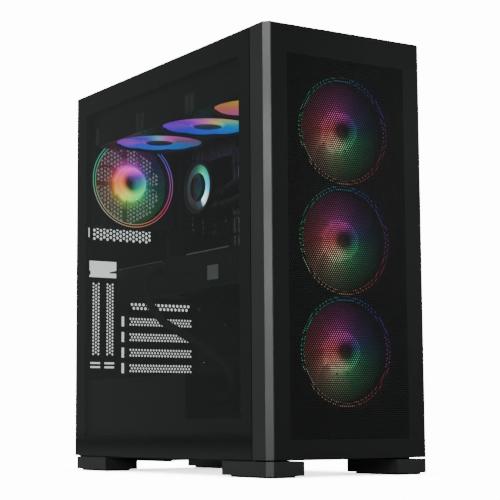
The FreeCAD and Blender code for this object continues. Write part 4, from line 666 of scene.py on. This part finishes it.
ROOF_WHEELS = [
    [(0.0, (0.08, 0.04, 0.75)), (0.08, (0.08, 0.12, 0.75)), (0.16, (0.2, 0.55, 0.75)),
     (0.24, (0.75, 0.12, 0.6)), (0.33, (0.45, 0.1, 0.4)), (0.42, (0.2, 0.12, 0.3)),
     (0.52, (0.02, 0.22, 0.7)), (0.66, (0.01, 0.22, 1.0)), (0.8, (0.02, 0.08, 1.0)),
     (0.9, (0.4, 0.05, 0.9)), (1.0, (0.08, 0.04, 0.75))],
    [(0.0, (0.25, 0.02, 0.8)), (0.08, (0.6, 0.06, 0.75)), (0.16, (0.8, 0.25, 0.45)),
     (0.24, (0.8, 0.6, 0.2)), (0.33, (0.25, 0.7, 0.45)), (0.42, (0.0, 0.45, 0.75)),
     (0.55, (0.01, 0.28, 1.0)), (0.68, (0.02, 0.12, 1.0)), (0.8, (0.05, 0.04, 1.0)),
     (0.9, (0.3, 0.03, 1.0)), (1.0, (0.25, 0.02, 0.8))],
    [(0.0, (0.8, 0.4, 0.05)), (0.08, (0.75, 0.65, 0.05)), (0.2, (0.2, 0.7, 0.05)),
     (0.4, (0.02, 0.5, 0.3)), (0.6, (0.4, 0.08, 0.45)), (0.75, (0.7, 0.12, 0.4)),
     (0.88, (0.85, 0.2, 0.15)), (1.0, (0.8, 0.4, 0.05))]]
ROOF_FAN_Y = (0.126, 0.006, -0.114)
for number, (wheel, fan_y) in enumerate(zip(ROOF_WHEELS, ROOF_FAN_Y), start=1):
    centre = (FAN_X, fan_y, 0.411)
    glow = lit(f"roof_glow_{number}", centre, "+Z", wheel, ROOF_GLOW, 2.0)
    rotor(centre, "-Z", **CASE_FAN, coverage=1.3, slant=0.1, rise=7.8).make(
        f"roof_blades_{number}", f"radiator_rotor_{number}", "fan_rotor_plastic", glow,
        replaces=[f"radiator_fan_rotor_{number}"])

# Grey rubber pads sit on the corners of the radiator's fan frames.

pad_grey = coated("pad_grey", (0.10, 0.11, 0.105), rough=0.6, grain=900)
pads = Shape()
for fan_y in ROOF_FAN_Y:
    for corner_y in (-0.0545, 0.0545):
        for outer_x, step in ((-0.098, -0.4), (0.022, 0.4)):
            ends = sorted((outer_x - step * 0.2 * MM, outer_x + step * MM))
            pads.boxes((ends[0], fan_y + corner_y - 4.6 * MM, 0.4125),
                       (ends[1], fan_y + corner_y + 4.6 * MM, 0.4345))
pads.make("fan_pads", "chassis", "fan_frame_plastic", pad_grey)

# The graphics card's three fans and the supply's fan are plain black; the supply's fan has a wire
# guard of rings and spokes below it.

dark_plastic = coated("dark_plastic", (0.014, 0.015, 0.015), rough=0.42, grain=1200, depth=0.00005)
CARD_FAN_X, CARD_FAN_Y = -0.0063, (0.136, 0.043, -0.050)
for number, fan_y in enumerate(CARD_FAN_Y, start=1):
    rotor((CARD_FAN_X, fan_y, 0.2144), "-Z", hub=14, tip=42.2, top=-1.0, depth=13.0, blades=11).make(
        f"card_blades_{number}", f"card_rotor_{number}", "card_rotor_plastic", dark_plastic,
        replaces=[f"gpu_fan_rotor_{number}"])
supply_centre = (0.0, 0.1448, 0.0215)
rotor(supply_centre, "-Z", **CASE_FAN).make(
    "supply_blades", "supply_rotor", "fan_rotor_plastic", dark_plastic, replaces=["psu_fan_rotor"])
guard = Shape()
for radius in (14, 25, 36, 47, 57):
    ring(guard, supply_centre, "-Z", radius * MM, 0.8 * MM, 0.7 * MM)
for across, along in ((1, 0), (-1, 0), (0, 1), (0, -1)):
    ends = np.array([(across * 14 - abs(along), along * 14 - abs(across)),
                     (across * 60 + abs(along), along * 60 + abs(across))])
    ends = np.sort(ends, 0) * MM + supply_centre[:2]
    guard.boxes((*ends[0], 0.0194), (*ends[1], 0.0206))
guard.make("supply_guard", "chassis", "black_steel", black_screw)

# ---------------------------------------------------------------- radiator
# A core of flat tubes with folded fins between them, two side rails and two end tanks. The hose
# fittings hang below the front tank.

radiator_black = coated("radiator_black", (0.016, 0.017, 0.018), rough=0.4, grain=1000, depth=0.00005)
core_low, core_high = np.array((-0.098, -0.174, 0.436)), np.array((0.022, 0.186, 0.463))
RAIL = 1.4 * MM
core = Shape()
for left, right_side in ((core_low[0], core_low[0] + RAIL), (core_high[0] - RAIL, core_high[0])):
    core.boxes((left, core_low[1], core_low[2]), (right_side, core_high[1], core_high[2]))
TUBES = 10
tube_x = np.linspace(core_low[0] + RAIL, core_high[0] - RAIL, TUBES + 1)
width = 2.0 * MM
core.boxes(rows(tube_x[1:-1] - width / 2, core_low[1], core_low[2] + 1.5 * MM),
           rows(tube_x[1:-1] + width / 2, core_high[1], core_high[2] - 1.5 * MM), 0.6 * MM)
folds = np.arange(core_low[1], core_high[1], 1.8 * MM)
gap, fold = np.meshgrid(np.arange(TUBES), np.arange(len(folds)), indexing="ij")
fold_x = np.where(fold % 2 == 0, tube_x[gap] + width / 2, tube_x[gap + 1] - width / 2)
strip = np.stack([fold_x, folds[fold], np.full(fold.shape, core_low[2] + 2.2 * MM)], -1)
fin_points = np.stack([strip, strip + (0, 0, core_high[2] - core_low[2] - 4.4 * MM)], 2)
index = np.arange(fin_points.size // 3).reshape(TUBES, len(folds), 2)
fins = np.stack([index[:, :-1, 0], index[:, 1:, 0], index[:, 1:, 1], index[:, :-1, 1]], -1).reshape(-1, 4)
core.add(fin_points, [fins], 1)
for near, far in ((-0.191, -0.174), (0.186, 0.203)):
    core.boxes((-0.094, near, 0.437), (0.018, far, 0.462), 2.5 * MM)
    for across in (-0.070, -0.006):
        core.lathe([(5 * MM, 0), (5 * MM, 0.9 * MM), (4.3 * MM, 1.4 * MM), (1.0 * MM, 1.4 * MM)],
                   (across, near if near < 0 else far, 0.4495), "-Y" if near < 0 else "+Y", 24)
for across in (8, -14):
    core.lathe(np.array([(7.2, 0), (8, 1), (8, 5), (7.2, 6), (7.2, 11), (8, 11.6), (8, 16), (7, 16)]) * MM,
               (across * MM, -0.1825, 0.437), "-Z", 32)
fin_metal = coated("radiator_fins", (0.05, 0.05, 0.052), rough=0.35, grain=2500, depth=0.00002, metal=0.7)
core.make("radiator_core", "chassis", "radiator_black", radiator_black, fin_metal, replaces=["radiator"])

# ---------------------------------------------------------------- pump and hoses
# The pump's cap has a black rim, a ribbed band lit from behind and a dark dished middle.

hose_rubber = coated("hose_rubber", (0.011, 0.011, 0.012), rough=0.55, grain=700, depth=0.0003)
dress(hose_rubber, "coolant_tubes")
dress(dark_plastic, "pump_block", "gpu_shroud", "psu_inlet")
PUMP = (0.0219, 0.126, 0.360)
PUMP_WHEEL = [(0.0, (0.012, 0.016, 0.016)), (0.1, (0.018, 0.011, 0.017)), (0.22, (0.008, 0.006, 0.008)),
              (0.31, (0.01, 0.03, 0.05)), (0.345, (0.75, 0.95, 1.0)), (0.4, (0.55, 0.9, 1.0)),
              (0.48, (0.05, 0.5, 0.85)), (0.57, (0.01, 0.5, 0.45)), (0.66, (0.012, 0.42, 0.2)),
              (0.75, (0.02, 0.09, 0.06)), (0.86, (0.02, 0.035, 0.03)), (1.0, (0.012, 0.016, 0.016))]
PUMP_GLOW = [(0.0, 0.0), (0.29, 0.05), (0.305, 1.0), (0.33, 0.9), (0.4, 0.6), (0.48, 0.4), (0.5, 0.02)]
RIBS = 72
pump_glow = lit("pump_glow", PUMP, "-X", PUMP_WHEEL, PUMP_GLOW, 8.0, ribs=RIBS)
gloss_black = coated("gloss_black", (0.008, 0.008, 0.010), rough=0.12, grain=300, depth=0.00001)
CAP_RIM = np.array([(35.5, 0), (35.5, 3.2), (35.2, 3.8), (34.8, 4), (31.2, 3.9), (30.2, 3.2), (29.4, 2.2)])
CAP_DISH = np.array([(18.6, 1.6), (18.6, 3.3), (18.2, 3.7), (17.4, 3.7), (16.6, 3.1), (9, 2.8), (1, 2.7)])
cap = Shape().lathe(CAP_RIM * MM, PUMP, "-X", 96)
angle, spoke, out = spokes("-X", RIBS * 4)
wave = (0.3 * MM * np.sign(np.sin(angle * RIBS + 0.1)))[:, None] * out
band = [np.array(PUMP) + reach * MM * spoke + rise * MM * out + wave
        for reach, rise in ((30.0, 1.2), (30.0, 2.4), (26, 2.8), (18.4, 2.4), (18.4, 1.2))]
cap.loft(np.array(band), finish=1, smooth=False)
cap.lathe(CAP_DISH * MM, PUMP, "-X", 64, finish=2)
cap.make("pump_face", "chassis", "pump_face", dark_plastic, pump_glow, gloss_black, replaces=["pump_cap"])
pump_screws = Shape()
for across, rise in HOLES:
    screw_y, screw_z = PUMP[1] + across * 0.0245, PUMP[2] + rise * 0.0245
    screw_head(pump_screws, (0.0599, screw_y, screw_z), "-X", 3.2 * MM, 3.0 * MM)
    pump_screws.lathe([(2.4 * MM, 0), (2.4 * MM, 5 * MM)], (0.0649, screw_y, screw_z), "-X", 16)
pump_screws.make("pump_screws", "chassis", "plated_steel", plated)

# ---------------------------------------------------------------- main board
# A black laminate with its sockets, a row of chokes round the processor, chips, capacitors and
# pin headers. The loose parts are scattered over the free areas from a fixed seed.

laminate = coated("laminate", (0.010, 0.012, 0.012), rough=0.35, grain=400, depth=0.00008, spread=0.5)
dress(laminate, "motherboard", "gpu_board")
dress(dark_plastic, "board_slots", "rear_ports")
dress(metal_can, "io_shield")
BOARD_FACE, LOOSE_PARTS = 0.0679, 150
TAKEN = ((97, 155, 325, 392), (164, 186, 300, 406), (68, 179, 396, 419), (30, 70, 266, 410),
         (-12, 59, 152, 208), (68, 169, 214, 238), (186, 222, 262, 418), (40, 190, 240, 262),
         (80, 171, 145, 160), (-30, -8, 320, 372))
dice = np.random.default_rng(7)


def scatter(count, size, gap):
    """Free places on the board's face: (y, z) in mm, away from the large parts and from each other."""
    places = []
    while len(places) < count:
        y, z = dice.uniform(-20, 212), dice.uniform(120, 414)
        clear = all(y + size < a or y - size > b or z + size < c or z - size > d for a, b, c, d in TAKEN)
        if clear and all(abs(y - p) > gap or abs(z - q) > gap for p, q in places):
            places.append((y, z))
    return np.array(places)


board = Shape()
spots = scatter(LOOSE_PARTS, 3.5, 6.5) * MM
half = dice.uniform(0.8, 2.6, (LOOSE_PARTS, 2)) * MM
tall = dice.uniform(0.5, 1.6, LOOSE_PARTS) * MM
board.boxes(rows(BOARD_FACE - tall, *(spots - half).T), rows(BOARD_FACE, *(spots + half).T), 0.15 * MM)
for chip_y, chip_z, chip in ((14, 240, 9), (150, 190, 6), (120, 282, 5), (20, 135, 5), (180, 205, 5)):
    board.boxes((BOARD_FACE - 1.4 * MM, (chip_y - chip) * MM, (chip_z - chip) * MM),
                (BOARD_FACE, (chip_y + chip) * MM, (chip_z + chip) * MM), 0.3 * MM)
choke = [(160, 308 + 9.4 * k) for k in range(9)] + [(74 + 9.4 * k, 392) for k in range(9)]
choke = np.array(choke) * MM
board.boxes(rows(BOARD_FACE - 6 * MM, *(choke - 3.4 * MM).T), rows(BOARD_FACE, *(choke + 3.4 * MM).T),
            0.8 * MM, finish=1)
for can_y, can_z in scatter(16, 5.0, 11.0) * MM:
    board.lathe(np.array([(3, 0), (3, 6.6), (2.7, 7), (2.2, 6.9)]) * MM, (BOARD_FACE, can_y, can_z), "-X", 20,
                finish=2)
board.boxes((0.0569, -0.0235, 0.322), (BOARD_FACE, -0.0125, 0.370), 0.5 * MM)
pin = np.stack(np.meshgrid(np.arange(12), np.arange(2), indexing="ij"), -1).reshape(-1, 2)
pin_z, pin_y = (325 + 4.0 * pin[:, 0]) * MM, (-20.4 + 4.2 * pin[:, 1]) * MM
board.boxes(rows(0.0565, pin_y - 1.3 * MM, pin_z - 1.3 * MM),
            rows(0.0572, pin_y + 1.3 * MM, pin_z + 1.3 * MM), 0.1 * MM, finish=1)
for header_y, header_z in ((-10, 178), (-10, 215), (-10, 245), (-10, 280), (6, 122), (40, 122), (75, 122),
                           (110, 122)):
    board.boxes((BOARD_FACE - 8 * MM, (header_y - 3) * MM, (header_z - 9) * MM),
                (BOARD_FACE, (header_y + 3) * MM, (header_z + 9) * MM), 0.4 * MM)
    pins = np.arange(-3, 4) * 2.54
    board.boxes(rows(BOARD_FACE - 9 * MM, (header_y - 0.4) * MM, (header_z + pins - 0.4) * MM),
                rows(BOARD_FACE, (header_y + 0.4) * MM, (header_z + pins + 0.4) * MM), 0.05 * MM, finish=2)
choke_grey = coated("choke_grey", (0.10, 0.10, 0.10), rough=0.5, grain=1500, depth=0.00004)
board.make("board_parts", "chassis", "board_laminate", dark_plastic, choke_grey, metal_can)


def ridged(shape, low, high, run, count, share=0.45):
    """A heat sink that faces -X: a base slab and bars that run along one axis, on its left."""
    low, high = np.array(low, float), np.array(high, float)
    depth = high[0] - low[0]
    shape.boxes((low[0] + depth * share, low[1], low[2]), high, 0.8 * MM)
    other = 3 - run
    step = (high[other] - low[other]) / count
    start = low[other] + step * np.arange(count)
    lows, highs = np.tile(low, (count, 1)), np.tile(high, (count, 1))
    lows[:, other], highs[:, other] = start + step * 0.14, start + step * 0.86
    highs[:, 0] = low[0] + depth * share + 0.5 * MM
    shape.boxes(lows, highs, 0.5 * MM)


sink_metal = coated("sink_metal", (0.055, 0.057, 0.06), rough=0.32, grain=1800, depth=0.00003, metal=0.75)
sinks = Shape()
ridged(sinks, (0.0339, 0.1645, 0.305), (0.0679, 0.1835, 0.405), 1, 12)
ridged(sinks, (0.0599, -0.0115, 0.153), (0.0679, 0.0585, 0.207), 1, 6)
ridged(sinks, (0.0589, 0.0685, 0.215), (0.0679, 0.1685, 0.237), 1, 4)
sinks.make("sink_ridges", "chassis", "sink_aluminium", sink_metal, replaces=["board_heatsinks"])
pale_sink = coated("pale_sink", (0.22, 0.20, 0.23), rough=0.4, grain=1800, depth=0.00003, metal=0.3)
roof_sink = Shape()
ridged(roof_sink, (0.0399, 0.0685, 0.397), (0.0679, 0.1785, 0.418), 2, 14)
roof_sink.make("roof_sink", "chassis", "sink_aluminium", pale_sink, replaces=["board_heatsinks"])
memory_low, memory_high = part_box("memory_modules")
memory = Shape()
for middle in (64, 54.5, 45, 35.5):
    y = middle * MM
    memory.boxes((memory_low.x + 3 * MM, y - 2.9 * MM, memory_low.z + 1 * MM),
                 (memory_high.x - 6 * MM, y + 2.9 * MM, memory_high.z - 1 * MM), 0.5 * MM)
    memory.boxes((memory_high.x - 6 * MM, y - 0.7 * MM, memory_low.z),
                 (memory_high.x, y + 0.7 * MM, memory_high.z), finish=1)
    bars = np.linspace(memory_low.z, memory_high.z, 7)
    memory.boxes(rows(memory_low.x, y - 3.4 * MM, bars[:-1]),
                 rows(memory_low.x + 3.5 * MM, y + 3.4 * MM, bars[1:] - 2 * MM), 0.9 * MM)
memory.make("memory_sticks", "chassis", "sink_aluminium", sink_metal, laminate, replaces=["memory_modules"])
tongues = Shape()
for number in range(8):
    z = (261.5 + 12 + 17 * number + 6.5) * MM
    tongues.boxes((0.0489, 0.2125, z - 1.1 * MM), (0.0589, 0.2205, z + 1.1 * MM))
    for wall_x in (0.0462, 0.0604):
        tongues.boxes((wall_x, 0.2123, z - 6.2 * MM), (wall_x + 1.2 * MM, 0.2213, z + 6.2 * MM), finish=1)
tongues.make("rear_socket_tongues", "chassis", "black_plastic", contact, metal_can)

# ---------------------------------------------------------------- graphics card
# A fin stack on heat pipes under a moulded shroud. The shroud's side has two raised bands, slats
# and connector blocks, with a pale line and a white strip above them.

fin_silver = coated("fin_silver", (0.35, 0.35, 0.36), rough=0.35, grain=2500, depth=0.00002, metal=1.0,
                    spread=0.1)
stack = Shape()
plate_y = np.arange(-0.102, 0.1885, 2.3 * MM)
stack.boxes(rows(-0.0598, plate_y, 0.2299), rows(0.0477, plate_y + 0.5 * MM, 0.2508), 0.1 * MM)
stack.boxes((-0.0598, -0.103, 0.2506), (0.0477, 0.189, 0.2526), 0.3 * MM)
for pipe_x in (-0.040, -0.018, 0.004, 0.026):
    stack.lathe([(3 * MM, 0), (3 * MM, 0.288)], (pipe_x, -0.101, 0.240), "+Y", 16)
for fan_y in CARD_FAN_Y:
    stack.lathe([(2 * MM, 0), (4 * MM, 0), (4 * MM, 9 * MM), (2 * MM, 9 * MM)],
                (CARD_FAN_X, fan_y, 0.2299), "-Z", 24, caps=False, wrap=True)
stack.make("card_fins", "chassis", "fin_aluminium", fin_silver, replaces=["gpu_heatsink"])
dress(dark_plastic, "gpu_backplate")
pale_gold = coated("pale_gold", (0.60, 0.50, 0.30), rough=0.35, grain=2000, depth=0.00002, metal=0.6,
                   spread=0.1)
white_plastic = coated("white_plastic", (0.45, 0.46, 0.46), rough=0.4, grain=1500, depth=0.00003, spread=0.08)
trim = Shape()
trim.boxes((-0.0609, 0.078, 0.2546), (-0.0602, 0.190, 0.2556), 0.1 * MM, finish=1)
trim.boxes((-0.0600, -0.075, 0.2565), (-0.0580, 0.020, 0.2582), 0.2 * MM, finish=2)
trim.boxes((-0.0641, -0.100, 0.2325), (-0.0632, 0.187, 0.2340), 0.3 * MM)
trim.boxes((-0.0641, -0.100, 0.2180), (-0.0632, 0.187, 0.2195), 0.3 * MM)
slats = np.linspace(-0.095, -0.055, 9)
trim.boxes(rows(-0.0640, slats, 0.2360), rows(-0.0632, slats + 2.2 * MM, 0.2500), 0.3 * MM)
trim.boxes((-0.0652, -0.060, 0.2215), (-0.0632, -0.037, 0.2385), 0.5 * MM, finish=2)
trim.boxes((-0.0652, 0.063, 0.2400), (-0.0632, 0.081, 0.2518), 0.5 * MM)
trim.make("card_trim", "chassis", "card_plastic", dark_plastic, pale_gold, white_plastic)

# ---------------------------------------------------------------- power supply, drives and cables
# The supply's case keeps its CAD shape. The dust filter below it is a frame with a perforated
# field. Each drive tray has side rails and a slotted front.

supply_finish = coated("supply_finish", (0.018, 0.018, 0.019), rough=0.6, grain=1600, depth=0.0002)
dress(supply_finish, "psu_case")
rocker_black = coated("rocker_black", (0.02, 0.018, 0.018), rough=0.3, grain=1500, depth=0.00002)
dress(rocker_black, "psu_rocker")
tray_low, tray_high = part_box("psu_dust_filter")


def below_supply(across, along, depth):
    """Points of the supply's filter; depth runs up from its underside."""
    return np.stack([-across, along, tray_low.z + depth], 1)


SUPPLY_FIELD = ((tray_low.x + 7 * MM, tray_low.y + 7 * MM), (tray_high.x - 7 * MM, tray_high.y - 14 * MM))
vent, = perforated(SUPPLY_FIELD[0], SUPPLY_FIELD[1], 4.2 * MM, 3.3 * MM, 1.0 * MM, below_supply, 1)
vent.make("supply_vent", "supply_filter", "dust_mesh", skin_steel, replaces=["psu_dust_filter"])
framed(inset(tray_low.xy, tray_high.xy, RIM_EDGE), SUPPLY_FIELD, RIM_EDGE, below_supply,
       tray_high.z - tray_low.z).make(
    "supply_filter_rim", "supply_filter", "dust_mesh", dark_plastic, replaces=["psu_dust_filter"])
drives = Shape()
for bottom in (21, 50):
    low, high = np.array((-33, -42, bottom)) * MM, np.array((72, 43.8, bottom + 22)) * MM
    drives.boxes(low, (high[0] - 6 * MM, high[1], low[2] + 2 * MM))
    drives.boxes(low, (high[0] - 6 * MM, low[1] + 2 * MM, high[2]))
    drives.boxes((low[0], high[1] - 2 * MM, low[2]), (high[0] - 6 * MM, high[1], high[2]))
    drives.boxes((high[0] - 6 * MM, low[1], low[2]), (high[0] - 3 * MM, high[1], high[2]), 0.6 * MM)
    bars = np.linspace(low[1] + 6 * MM, high[1] - 9 * MM, 12)
    drives.boxes(rows(high[0] - 3.2 * MM, bars, low[2] + 3 * MM),
                 rows(high[0], bars + 3 * MM, high[2] - 3 * MM), 0.5 * MM)
drives.make("tray_frames", "chassis", "black_plastic", dark_plastic, replaces=["drive_trays"])
sleeve = coated("cable_sleeve", (0.013, 0.013, 0.014), rough=0.7, grain=650, depth=0.0004)
dress(sleeve, "gpu_power_cable", "board_power_cable")
